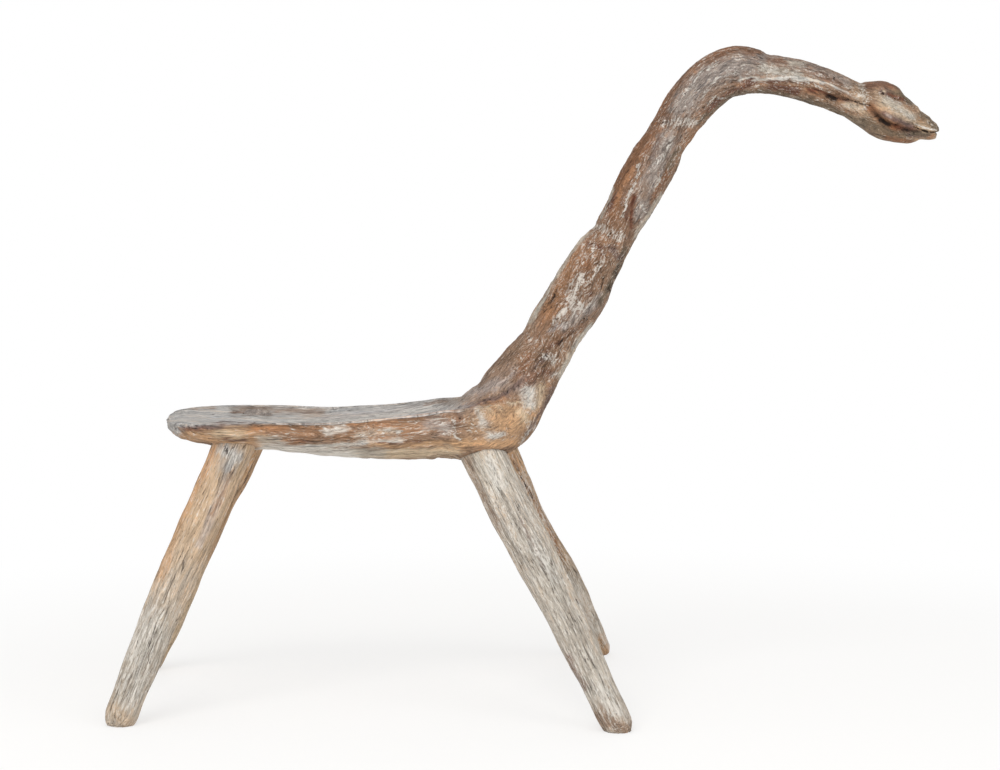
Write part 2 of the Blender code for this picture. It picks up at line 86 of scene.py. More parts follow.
# %% Camera at the photograph's angle
PHOTO_WIDTH, PHOTO_HEIGHT = 1000, 770
LENS_PIXELS = 3050  # focal length in pixels
SENSOR_WIDTH = 36.0  # millimetres, the camera's own unit
CAMERA_DISTANCE = 3.05
CAMERA_HEIGHT = 0.574
CAMERA_TURN = math.radians(2.5)
HORIZON_ROW = 120
AIM_ALONG = 0.333  # the aimed point, from the seat's front end

tilt = math.atan((PHOTO_HEIGHT / 2 - HORIZON_ROW) / LENS_PIXELS)
away = Vector((math.sin(CAMERA_TURN), math.cos(CAMERA_TURN), 0.0))
sight = Vector((away.x * math.cos(tilt), away.y * math.cos(tilt), -math.sin(tilt)))
rightward = Vector((math.cos(CAMERA_TURN), -math.sin(CAMERA_TURN), 0.0))
upward = rightward.cross(sight)
station = Vector((FRONT_END + AIM_ALONG, MIDDLE_PLANE, CAMERA_HEIGHT)) - away * CAMERA_DISTANCE

camera_data = bpy.data.cameras.new("photo_camera")
camera_data.sensor_width = SENSOR_WIDTH
camera_data.lens = LENS_PIXELS * SENSOR_WIDTH / PHOTO_WIDTH
camera = bpy.data.objects.new("photo_camera", camera_data)
camera.matrix_world = Matrix.Translation(station) @ Matrix((rightward, upward, -sight)).transposed().to_4x4()
bpy.context.collection.objects.link(camera)
bpy.context.scene.camera = camera
bpy.context.scene.view_settings.view_transform = "Standard"
print("lens", round(camera_data.lens, 1), "mm, camera at", [round(c, 3) for c in station])


def photo_pixels(points):
    """Where points of the model appear in the photograph, in pixels."""
    rays = points - np.array(station)
    depth = rays @ np.array(sight)
    across = PHOTO_WIDTH / 2 + LENS_PIXELS * (rays @ np.array(rightward)) / depth
    down = PHOTO_HEIGHT / 2 - LENS_PIXELS * (rays @ np.array(upward)) / depth
    return np.stack([across, down], axis=1)


# %% [markdown]
# ## Shader maths in Python
# A material is a sum in disguise: noise times a colour plus a mask. Wiring it by hand hides the sum, so one
# small class wraps a socket and lets Python's own operators add the nodes. `1 - mask` works because the
# reflected forms are there too. Numbers use Math nodes, and vectors Vector Math, because a Math node would
# turn a colour grey. Every other node comes from the one method `node`.

# %% The class that turns sums into nodes
NOISE_SPREAD = 0.135  # standard deviation of one octave of the noise texture


class Strand:
    """A socket of a node tree that can be reckoned with."""

    def __init__(self, tree, socket):
        self.tree = tree
        self.socket = socket

    def node(self, kind, settings=None, inputs=None, output=0):
        """Adds any node: settings first, then values or links by socket name, and gives one output."""
        made = self.tree.nodes.new(kind)
        for name, value in (settings or {}).items():
            setattr(made, name, value)
        for name, value in (inputs or {}).items():
            if isinstance(value, Strand):
                self.tree.links.new(value.socket, made.inputs[name])
            else:
                made.inputs[name].default_value = value
        return Strand(self.tree, made.outputs[output])

    def sum_with(self, operation, first, second):
        """The node of a sum: Vector Math as soon as one side is a vector or a colour, otherwise Math."""
        terms = [first, second]
        if any(isinstance(term, Strand) and term.socket.type != "VALUE" for term in terms):
            kind = "ShaderNodeVectorMath"
            terms = [(term,) * 3 if isinstance(term, (int, float)) else term for term in terms]
        else:
            kind = "ShaderNodeMath"
        return self.node(kind, {"operation": operation}, dict(enumerate(terms)))

    def __add__(self, other):
        return self.sum_with("ADD", self, other)

    def __radd__(self, other):
        return self.sum_with("ADD", other, self)

    def __sub__(self, other):
        return self.sum_with("SUBTRACT", self, other)

    def __rsub__(self, other):
        return self.sum_with("SUBTRACT", other, self)

    def __mul__(self, other):
        return self.sum_with("MULTIPLY", self, other)

    def __rmul__(self, other):
        return self.sum_with("MULTIPLY", other, self)

    def __abs__(self):
        return self.node("ShaderNodeMath", {"operation": "ABSOLUTE"}, {0: self})

    def larger(self, other):
        return self.node("ShaderNodeMath", {"operation": "MAXIMUM"}, {0: self, 1: other})

    def step(self, low, high):
        """0 below low, 1 above high and a smooth slope between."""
        settings = {"interpolation_type": "SMOOTHSTEP"}
        return self.node("ShaderNodeMapRange", settings, {"Value": self, "From Min": low, "From Max": high})

    def blend(self, under, over):
        """The colour under where this mask is 0 and over where it is 1."""
        settings = {"data_type": "RGBA", "clamp_factor": True}
        inputs = {"Factor": self, 6: under, 7: over}
        return self.node("ShaderNodeMix", settings, inputs, output=2)

    def noise(self, scales, octaves, roughness, distortion, seed):
        """Noise in its own standard steps: 0 on average, and two thirds of it lies between -1 and 1."""
        inputs = {
            "Vector": self * scales + seed, "Scale": 1.0, "Detail": octaves - 1.0, "Roughness": roughness,
            "Distortion": distortion,
        }
        parts = [roughness**k for k in range(octaves)]
        spread = NOISE_SPREAD * math.sqrt(sum(part**2 for part in parts)) / sum(parts)
        return (self.node("ShaderNodeTexNoise", {}, inputs) - 0.5) * (1.0 / spread)


def srgb(red, green, blue):
    """A colour as it is read off a screen, from 0 to 255, in the linear light that shaders use."""
    found = []
    for part in (red / 255, green / 255, blue / 255):
        found.append(part / 12.92 if part <= 0.04045 else ((part + 0.055) / 1.055) ** 2.4)
    return found


print("the screen's middle grey, 128 of 255, is", round(srgb(128, 128, 128)[0], 3), "in linear light")

# %% [markdown]
# ## The palette
# The wood was limed and then lived outdoors or near a fire. Chalk stays in the pores and hollows, worn ridges
# show honey and rust, places out of the weather are umber, and cracks are nearly black. Some colours also
# paint light and shade: pitch and plum paint the shade in the deepest cuts and under the near rim, chalk,
# bone and lilac a few painted highlights, and the palest colour the painted bounce light on the seat's
# underside. Each colour has one name and is used by that name everywhere.

# %% Colours of the weathered wood
WOODS = {
    # the palest colour, only on the seat's underside, where it is partly painted bounce light
    "whitewash_and_bounce_light": srgb(236, 230, 220),
    "chalk": srgb(214, 210, 203),
    "ash": srgb(186, 183, 180),
    "lilac": srgb(176, 164, 158),
    "dusk": srgb(150, 139, 132),
    "drift": srgb(188, 180, 169),
    "stone": srgb(198, 191, 178),
    "bone": srgb(204, 182, 154),
    "tan": srgb(194, 168, 140),
    "honey": srgb(190, 152, 116),
    "rust": srgb(166, 122, 88),
    "clay": srgb(146, 118, 96),
    "bark": srgb(130, 92, 66),
    "plum": srgb(112, 92, 86),
    "wine": srgb(104, 66, 50),
    "olive": srgb(108, 94, 78),
    "pitch": srgb(40, 28, 22),
}
for name, colour in WOODS.items():
    print(name, [round(part, 3) for part in colour])

# %% [markdown]
# ## Light and floor
# The photograph is a cut-out on white, taken under broad soft light from above and from the left. Four large
# area lamps and a pale world give that, at a level at which a colour renders about as it is written. The
# floor is a real surface that keeps a faint shadow. The camera, and only the camera, sees it lifted to white
# away from the stool, so the white never adds light to the wood.

# %% Soft lamps and a pale world
LAMP_WHITE = (1.0, 0.985, 0.96)
WORLD_LEVEL = 0.66
LAMPS = {  # name: (place from the seat's front end, watts, width of the square)
    "high_left_softbox": ((-0.7, -1.9, 2.3), 30.0, 1.6),
    "high_right_softbox": ((1.7, -1.4, 2.0), 8.0, 1.6),
    "low_front_softbox": ((0.2, -2.8, 0.45), 34.0, 1.8),
    "high_back_softbox": ((0.5, 2.6, 2.0), 14.0, 1.6),
}
AIM = Vector((FRONT_END + AIM_ALONG, MIDDLE_PLANE, CAD_BOX[1].z / 2))

for name, (place, watts, width) in LAMPS.items():
    lamp_data = bpy.data.lights.new(name, "AREA")
    lamp_data.energy = watts
    lamp_data.size = width
    lamp_data.color = LAMP_WHITE
    lamp = bpy.data.objects.new(name, lamp_data)
    lamp.location = Vector(place) + Vector((FRONT_END, MIDDLE_PLANE, 0.0))
    lamp.rotation_mode = "QUATERNION"
    lamp.rotation_quaternion = (AIM - lamp.location).to_track_quat("-Z", "Y")
    bpy.context.collection.objects.link(lamp)

world = bpy.data.worlds.new("pale_studio")
world.use_nodes = True
bpy.context.scene.world = world
sky = world.node_tree.nodes["Background"]
sky.inputs["Color"].default_value = (1.0, 1.0, 1.0, 1.0)
world_root = Strand(world.node_tree, None)
seen = world_root.node("ShaderNodeLightPath", output=0)
world.node_tree.links.new((seen * (1.0 - WORLD_LEVEL) + WORLD_LEVEL).socket, sky.inputs["Strength"])
print("lamps:", sorted(LAMPS), "world level", WORLD_LEVEL)

# %% Pale floor
FLOOR_REACH = 30.0
FLOOR_COLOUR = srgb(244, 243, 241)
SHADOW_NEAR, SHADOW_FAR = 0.45, 1.1  # the shadow fades out between these distances
SHADOW_SHARE = 0.4  # how much of the floor's own shading the camera sees near the stool


def pale_floor():
    """A diffuse floor that the camera sees lifted to white away from the stool."""
    material = bpy.data.materials.new("pale_floor")
    material.use_nodes = True
    tree = material.node_tree
    tree.nodes.clear()
    root = Strand(tree, None)
    place = root.node("ShaderNodeTexCoord", output=3)
    distance = place.node("ShaderNodeVectorMath", {"operation": "LENGTH"}, {0: place}, output=1)
    camera_ray = root.node("ShaderNodeLightPath", output=0)
    lifted = 1.0 - (1.0 - distance.step(SHADOW_NEAR, SHADOW_FAR)) * SHADOW_SHARE
    shaded = root.node("ShaderNodeBsdfDiffuse", {}, {"Color": (*FLOOR_COLOUR, 1.0)})
    white = root.node("ShaderNodeEmission", {}, {"Color": (1.0, 1.0, 1.0, 1.0), "Strength": 1.0})
    mixed = root.node("ShaderNodeMixShader", {}, {0: lifted * camera_ray, 1: shaded, 2: white})
    finish = tree.nodes.new("ShaderNodeOutputMaterial")
    tree.links.new(mixed.socket, finish.inputs["Surface"])
    return material


floor_mesh = bpy.data.meshes.new("floor")
corners = [(-1, -1, 0), (1, -1, 0), (1, 1, 0), (-1, 1, 0)]
floor_mesh.from_pydata([Vector(corner) * FLOOR_REACH for corner in corners], [], [(0, 1, 2, 3)])
floor_mesh.materials.append(pale_floor())
floor = bpy.data.objects.new("floor", floor_mesh)
bpy.context.collection.objects.link(floor)
print("the floor reaches", FLOOR_REACH, "m each way, and the shadow is gone", SHADOW_FAR, "m away")

# %% [markdown]
# ## The plan of the crook
# Seat, neck and head are one piece of wood, so they are one skin, drawn over cross-sections like a boat's
# hull over its frames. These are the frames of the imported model, as shares of the same sizes. A section has
# its place, thickness and width, and two more numbers shape its top: the rim, where the widest line lies, and
# the crown, where the top's middle lies. A crown below the rim is the seat's hollow.

# %% Sizes and cross-sections
SLAB_LENGTH = 0.271
SEAT_WIDTH = 0.194
SEAT_THICKNESS = 0.055
SEAT_HEIGHT = 0.281
NECK_REACH = 0.406
NECK_RISE = 0.360
NECK_THICKNESS = 0.058
NECK_WIDTH = 0.060
NECK_SWAY = 0.006
HEAD_REACH = 0.096
HEAD_DROP = 0.035
HEAD_DEPTH = 0.055
HEAD_WIDTH = 0.049
BELLY_FULLNESS_SHARE = 0.6
HEEL_FULLNESS_SHARE = 2.2
WAIST_X = FRONT_END + SLAB_LENGTH + NECK_REACH  # where the neck ends and the head begins

# along, rise, thickness, width, rim, crown, sway
SEAT_SHARES = [
    (0.000, -0.05, 0.15, 0.24, 1.0, 1.00, 0.0),
    (0.009, -0.04, 0.20, 0.46, 1.0, 1.00, 0.0),
    (0.025, -0.035, 0.27, 0.66, 1.0, 1.00, 0.0),
    (0.052, -0.03, 0.35, 0.82, 1.0, 0.96, 0.0),
    (0.095, -0.02, 0.44, 0.93, 1.0, 0.86, 0.0),
    (0.165, -0.01, 0.52, 0.985, 1.0, 0.73, 0.0),
    (0.250, 0.00, 0.58, 1.00, 1.0, 0.62, 0.0),
    (0.340, 0.00, 0.61, 0.99, 1.0, 0.56, 0.0),
    (0.445, -0.005, 0.66, 0.96, 1.0, 0.53, 0.0),
    (0.530, -0.02, 0.69, 0.92, 1.0, 0.54, 0.0),
    (0.610, -0.02, 0.73, 0.87, 1.0, 0.57, 0.0),
    (0.710, 0.01, 0.80, 0.82, 1.0, 0.62, 0.0),
    (0.810, 0.04, 0.86, 0.77, 1.0, 0.67, 0.0),
    (0.905, 0.09, 0.92, 0.74, 1.0, 0.72, 0.0),
    (1.000, 0.155, 0.99, 0.715, 1.0, 0.78, 0.0),
]
NECK_SHARES = [
    (0.047, 0.007, 1.04, 2.28, 0.86, 0.88, 0.0),
    (0.090, 0.017, 1.16, 2.23, 0.72, 0.97, 0.0),
    (0.131, 0.037, 1.29, 2.10, 0.52, 0.96, 0.0),
    (0.165, 0.067, 1.27, 1.84, 0.34, 0.98, 0.1),
    (0.190, 0.111, 1.21, 1.58, 0.22, 1.00, 0.2),
    (0.215, 0.152, 1.14, 1.36, 0.19, 1.00, 0.4),
    (0.241, 0.193, 1.07, 1.17, 0.14, 1.00, 0.6),
    (0.266, 0.234, 0.99, 1.08, 0.07, 1.00, 0.8),
    (0.288, 0.281, 0.97, 1.03, 0.0, 1.00, 0.9),
    (0.338, 0.365, 1.04, 1.04, 0.0, 1.00, 1.0),
    (0.359, 0.407, 1.03, 1.02, 0.0, 1.00, 0.9),
    (0.379, 0.452, 0.94, 0.96, 0.0, 1.00, 0.7),
    (0.402, 0.495, 0.89, 0.91, 0.0, 1.00, 0.4),
    (0.428, 0.538, 0.76, 0.83, 0.0, 1.00, 0.1),
    (0.448, 0.583, 0.76, 0.82, 0.0, 1.00, -0.2),
    (0.470, 0.625, 0.82, 0.85, 0.0, 1.00, -0.5),
    (0.502, 0.693, 0.87, 0.87, 0.0, 1.00, -0.8),
    (0.534, 0.760, 0.83, 0.83, 0.0, 1.00, -0.9),
    (0.556, 0.804, 0.76, 0.78, 0.0, 1.00, -0.8),
    (0.579, 0.844, 0.76, 0.80, 0.0, 1.00, -0.6),
    (0.604, 0.888, 0.83, 0.84, 0.0, 1.00, -0.4),
    (0.633, 0.928, 0.87, 0.87, 0.0, 1.00, -0.1),
    (0.664, 0.963, 0.88, 0.88, 0.0, 1.00, 0.2),
    (0.700, 0.990, 0.89, 0.88, 0.0, 1.00, 0.4),
    (0.744, 1.003, 0.88, 0.86, 0.0, 1.00, 0.5),
    (0.788, 0.998, 0.77, 0.77, 0.0, 1.00, 0.5),
    (0.829, 0.990, 0.69, 0.72, 0.0, 1.00, 0.4),
    (0.896, 0.976, 0.70, 0.70, 0.0, 1.00, 0.2),
    (0.958, 0.953, 0.69, 0.68, 0.0, 1.00, 0.0),
    (1.000, 0.932, 0.66, 0.66, 0.0, 1.00, 0.0),
]
HEAD_SHARES = [
    (0.083, 0.09, 0.69, 0.80, 0.0, 1.0, 0.0),
    (0.167, 0.18, 0.77, 0.87, 0.0, 1.0, 0.0),
    (0.250, 0.255, 0.87, 0.94, 0.0, 1.0, 0.0),
    (0.344, 0.33, 0.97, 1.00, 0.0, 1.0, 0.0),
    (0.427, 0.43, 1.00, 1.00, 0.0, 1.0, 0.0),
    (0.500, 0.55, 0.97, 0.96, 0.0, 1.0, 0.0),
    (0.583, 0.66, 0.89, 0.88, 0.0, 1.0, 0.0),
    (0.656, 0.76, 0.81, 0.78, 0.0, 1.0, 0.0),
    (0.740, 0.86, 0.67, 0.66, 0.0, 1.0, 0.0),
    (0.823, 0.90, 0.47, 0.54, 0.0, 1.0, 0.0),
    (0.906, 0.97, 0.37, 0.46, 0.0, 1.0, 0.0),
    (0.969, 1.00, 0.29, 0.37, 0.0, 1.0, 0.0),
    (1.000, 1.00, 0.18, 0.24, 0.0, 1.0, 0.0),
]
ALONG, RISE, THICKNESS, WIDTH, RIM, CROWN, SWAY, LEAN = range(8)


def crook_sections():
    """The sections in metres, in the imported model's frame, one row each."""
    seat = np.array(SEAT_SHARES) * (SLAB_LENGTH, SEAT_THICKNESS, SEAT_THICKNESS, SEAT_WIDTH, 1, 1, NECK_SWAY)
    seat[:, ALONG] += FRONT_END
    seat[:, RISE] += SEAT_HEIGHT - seat[:, THICKNESS] / 2
    neck = np.array(NECK_SHARES) * (NECK_REACH, NECK_RISE, NECK_THICKNESS, NECK_WIDTH, 1, 1, NECK_SWAY)
    neck[:, :THICKNESS] += seat[-1, :THICKNESS]
    head = np.array(HEAD_SHARES) * (HEAD_REACH, -HEAD_DROP, HEAD_DEPTH, HEAD_WIDTH, 1, 1, NECK_SWAY)
    head[:, :THICKNESS] += neck[-1, :THICKNESS]
    return np.concatenate([seat, neck, head])


print(len(crook_sections()), "sections")

# %% [markdown]
# ## From sections to a dense skin
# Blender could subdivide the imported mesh, but a fresh skin gives an even grid of quads that runs with the
# grain, and every point knows how far along the wood it lies. That is worth a lot: streaks, cracks and
# furrows follow those coordinates round the bend, as they do in a real crook. A Catmull-Rom curve through
# each column of the table fills in the rings between the sections.

# %% Rings between the sections
RING_POINTS = 180
SEAT_STEP = 0.0023  # from ring to ring
NECK_STEP = 0.0020
HEAD_STEP = 0.00085
CAP_SHARES = (0.75, 0.5, 0.25)  # smaller rings that close an end, as shares of its last ring


def between(rows, i, t):
    """Catmull-Rom values between rows i and i + 1, for a column of shares t."""
    p0, p1, p2, p3 = (rows[min(max(k, 0), len(rows) - 1)] for k in range(i - 1, i + 3))
    t = t[:, None]
    return p1 + t * ((p2 - p0) + t * ((2 * p0 - 5 * p1 + 4 * p2 - p3) + t * (3 * p1 - p0 - 3 * p2 + p3))) / 2


def with_lean(rows):
    """Adds a middle row between two from the bend on, and to each row how far its section leans back."""
    half_way = np.array([0.5])
    found = []
    for i, row in enumerate(rows):
        found.append(row)
        if len(SEAT_SHARES) <= i < len(rows) - 1:
            found.extend(between(rows, i, half_way))
    rows = np.array(found)
    ahead = np.concatenate([rows[1:], rows[-1:]])
    behind = np.concatenate([rows[:1], rows[:-1]])
    lean = np.arctan2(ahead[:, RISE] - behind[:, RISE], ahead[:, ALONG] - behind[:, ALONG])
    lean[rows[:, RIM] >= 1.0] = 0.0
    return np.column_stack([rows, lean])


def dense_rows(rows):
    """Rings between the rows: closer together on the neck than on the seat, closest on the head."""
    neck_from = rows[len(SEAT_SHARES) - 1, ALONG]
    found = []
    for i in range(len(rows) - 1):
        length = math.hypot(rows[i + 1, ALONG] - rows[i, ALONG], rows[i + 1, RISE] - rows[i, RISE])
        beyond_waist = rows[i, ALONG] >= WAIST_X - NECK_STEP
        step = HEAD_STEP if beyond_waist else NECK_STEP if rows[i, ALONG] >= neck_from else SEAT_STEP
        count = max(1, round(length / step))
        found.append(between(rows, i, np.arange(count) / count))
    found.append(rows[-1:])
    return np.concatenate(found)


crook_rows = dense_rows(with_lean(crook_sections()))
print(len(crook_rows), "rings of", RING_POINTS, "points")

# %% The grid of points, and where each lies along, across and up the wood
Grid = namedtuple("Grid", "places grain normals")
TINY = 1e-12  # keeps a division by a length from failing where the length is nothing


def unit(vectors):
    """The same directions with a length of 1."""
    return vectors / np.maximum(np.linalg.norm(vectors, axis=-1, keepdims=True), TINY)


def grid_normals(places):
    """Outward directions of a grid of rings, from its neighbours along and around."""
    along = np.gradient(places, axis=0)
    around = np.roll(places, -1, axis=1) - np.roll(places, 1, axis=1)
    normals = unit(np.cross(around, along))
    outward = places - places.mean(axis=1, keepdims=True)
    return normals if (normals * outward).sum() > 0 else -normals


RING_ANGLES = np.linspace(0.0, 2 * math.pi, RING_POINTS, endpoint=False)


def travelled(rows):
    """How far along the wood each ring lies."""
    steps = np.hypot(np.diff(rows[:, ALONG]), np.diff(rows[:, RISE]))
    return np.concatenate([[0.0], np.cumsum(steps)])


def crook_grid(rows):
    """Every point of every ring, and the same points in the wood's own coordinates."""
    angle = RING_ANGLES
    across, height = np.cos(angle)[None, :], np.abs(np.sin(angle))[None, :]
    rim = np.clip(rows[:, RIM], 0.0, 1.0)[:, None]
    crown = rows[:, CROWN][:, None]
    turning = 4 * rim * (1 - rim)
    belly_power = 2 / (2 + BELLY_FULLNESS_SHARE * rim + HEEL_FULLNESS_SHARE * turning)
    is_top = (np.sin(angle) >= 0)[None, :]
    across = np.where(is_top, across, np.sign(across) * np.abs(across) ** belly_power)
    top_lift = rim + (crown - rim) * height ** (1 + rim)
    lift = np.where(is_top, top_lift, rim - (rim + 1) * height**belly_power)
    across = across * rows[:, WIDTH][:, None] / 2
    lift = lift * rows[:, THICKNESS][:, None] / 2
    lean = rows[:, LEAN][:, None]
    places = np.stack([
        rows[:, ALONG][:, None] - np.sin(lean) * lift,
        MIDDLE_PLANE + rows[:, SWAY][:, None] + across,
        rows[:, RISE][:, None] + np.cos(lean) * lift,
    ], axis=-1)
    grain = np.stack([np.broadcast_to(travelled(rows)[:, None], across.shape), across, lift], axis=-1)
    return places, grain


def cap(end):
    """Rings that shrink from an end ring to its middle point."""
    middle = end.mean(axis=0)
    return np.array([middle + (end - middle) * share for share in (*CAP_SHARES, 0.0)])


def with_caps(values):
    """A grid closed by a cap at both ends."""
    return np.concatenate([cap(values[0])[::-1], values, cap(values[-1])])


plain_places, plain_grain = (with_caps(values) for values in crook_grid(crook_rows))
crook = Grid(plain_places, plain_grain, grid_normals(plain_places))
WAIST_AT = float(np.interp(WAIST_X, crook_rows[:, ALONG], travelled(crook_rows)))
print("crook grid", crook.places.shape, "wood length", round(float(plain_grain[..., 0].max()), 3), "m")

# %% [markdown]
# ## Marks seen in the photograph
# Some marks have a definite place: the brown seam in the bend, the pink slots in the neck, the white chips
# near the rear leg. Each is a stroke, a short list of pixels with a width and a strength, as a painter would
# put it down. A point of the wood takes the stroke by where it appears in the photograph. What the camera
# can't see takes the strokes of its mirror image across the middle plane, a little displaced on the neck and
# the seat, so that the far side is like the near one without being its copy.

# %% Strokes and how they are laid on
Stroke = namedtuple("Stroke", "what wide much points")
FACING_BAND = 0.12  # how quickly the seen side's marks give way to the mirrored ones
FAR_SIDE_SHIFT = (23.0, 9.0)  # pixels by which the hidden side's marks are displaced
FINE_OCTAVES = 4
OCTAVE_FADE = 0.8  # the higher, the less each finer octave of noise adds


def strokes(*rows):
    """Strokes from rows of a name, a width in pixels, a strength and the pixels they run through."""
    return [Stroke(what, wide, much, points) for what, wide, much, *points in rows]


def tints(*rows):
    """The same with the name of a colour at the head of each row."""
    return [(colour, *strokes(row)) for colour, *row in rows]


def stroke_cover(pixels, stroke):
    """1 on a stroke, falling softly to 0 beyond its width."""
    points = np.array(stroke.points, float)
    nearest = np.full(len(pixels), np.inf)
    for start, end in zip(points, points[1:] if len(points) > 1 else points):
        way = end - start
        share = np.clip(((pixels - start) @ way) / max(way @ way, TINY), 0.0, 1.0)
        gap = np.linalg.norm(pixels - start - share[:, None] * way, axis=1)
        nearest = np.minimum(nearest, gap)
    return np.exp(-((nearest / stroke.wide) ** 2))


def smooth_step(value, low, high):
    """0 below low, 1 above high and a smooth slope between."""
    share = np.clip((value - low) / (high - low), 0.0, 1.0)
    return share * share * (3 - 2 * share)


class Views:
    """The two sets of pixels by which a piece takes its marks, and which one counts where."""

    def __init__(self, places, normals, shift=1.0, wander=0.0, middle=MIDDLE_PLANE):
        flat, facing_ways = places.reshape(-1, 3), normals.reshape(-1, 3)
        toward = unit(np.array(station) - flat)
        self.seen = smooth_step((facing_ways * toward).sum(axis=1), -FACING_BAND, FACING_BAND)
        mirrored = flat.copy()
        mirrored[:, 1] = 2 * middle - mirrored[:, 1]
        self.direct = photo_pixels(flat) + wander
        self.mirrored = photo_pixels(mirrored) + wander + np.array(FAR_SIDE_SHIFT) * shift

    def cover(self, stroke):
        """How fully a stroke covers each point, from the side that counts there."""
        hidden = stroke_cover(self.mirrored, stroke)
        return hidden + (stroke_cover(self.direct, stroke) - hidden) * self.seen


def rough(grain, along, across, seed, octaves=FINE_OCTAVES):
    """Noise of about -1 to 1 in the wood's own coordinates, with that many lumps to the metre."""
    stretched = grain.reshape(-1, 3) * (along, across, across) + seed
    return np.array([noise.fractal(place, OCTAVE_FADE, 2.0, octaves) for place in stretched.tolist()])


def layer_noise(grain, layer, octaves=FINE_OCTAVES):
    """The noise of one layer of the worked surface."""
    return rough(grain, layer.along, layer.across, layer.seed, octaves)


def scoops(grain, layer):
    """Shallow cups side by side, as a gouge leaves them: 0 at their middles and 1 between two."""
    stretched = grain.reshape(-1, 3) * (layer.along, layer.across, layer.across) + layer.seed
    return np.array([min(noise.voronoi(place)[0][0], 1.0) for place in stretched.tolist()]) ** 2


spot = Stroke("a round spot", 5.0, 1.0, ((100, 100),))
covers = stroke_cover(np.array([(100.0, 100.0), (105.0, 100.0), (110.0, 100.0)]), spot)
print("a spot's cover at its middle, and one and two widths away:", covers.round(3).tolist())

# %% Paths that several marks share
RIDGE_OVER_HEEL = ((470, 412), (500, 404), (520, 402), (533, 407))
BEND_SEAM = ((470, 405), (497, 398), (512, 389), (530, 372))
NECK_GROOVE = ((523, 379), (533, 370), (542, 366))
FRONT_HOLLOW = ((550, 302), (554, 295))
BACK_HOLLOW = ((582, 322), (588, 317))
PINK_CUP = ((478, 411), (484, 424))
WHITE_PATCH = ((326, 431), (346, 429))
WHITE_ZONE = ((763, 68), (782, 72), (800, 77))
HEAD_SLOT = ((827, 96.5), (835, 99.5))
CROWN_BAND = ((868, 85), (883, 83.5), (896, 88))
FURROW_BED = ((880.5, 120), (889, 124.8))
print("the seam of the bend runs from", BEND_SEAM[0], "to", BEND_SEAM[-1])

# %% [markdown]
# ## Tool marks, knuckles and the carved head
# The wood was shaped with an adze and gouges, and then it weathered. So the skin is pressed in by four
# layers: broad lumps, scooped cups with ridges between them, furrows that run with the grain, and fine
# checks. On top of them come the cuts that can be seen one by one. A depth is positive into the wood, and
# negative where the carver left a swelling. The same cuts are made on both sides of the crook, as its far
# side can't be seen. The head was smoothed after carving, so it keeps only a quarter of the layers.

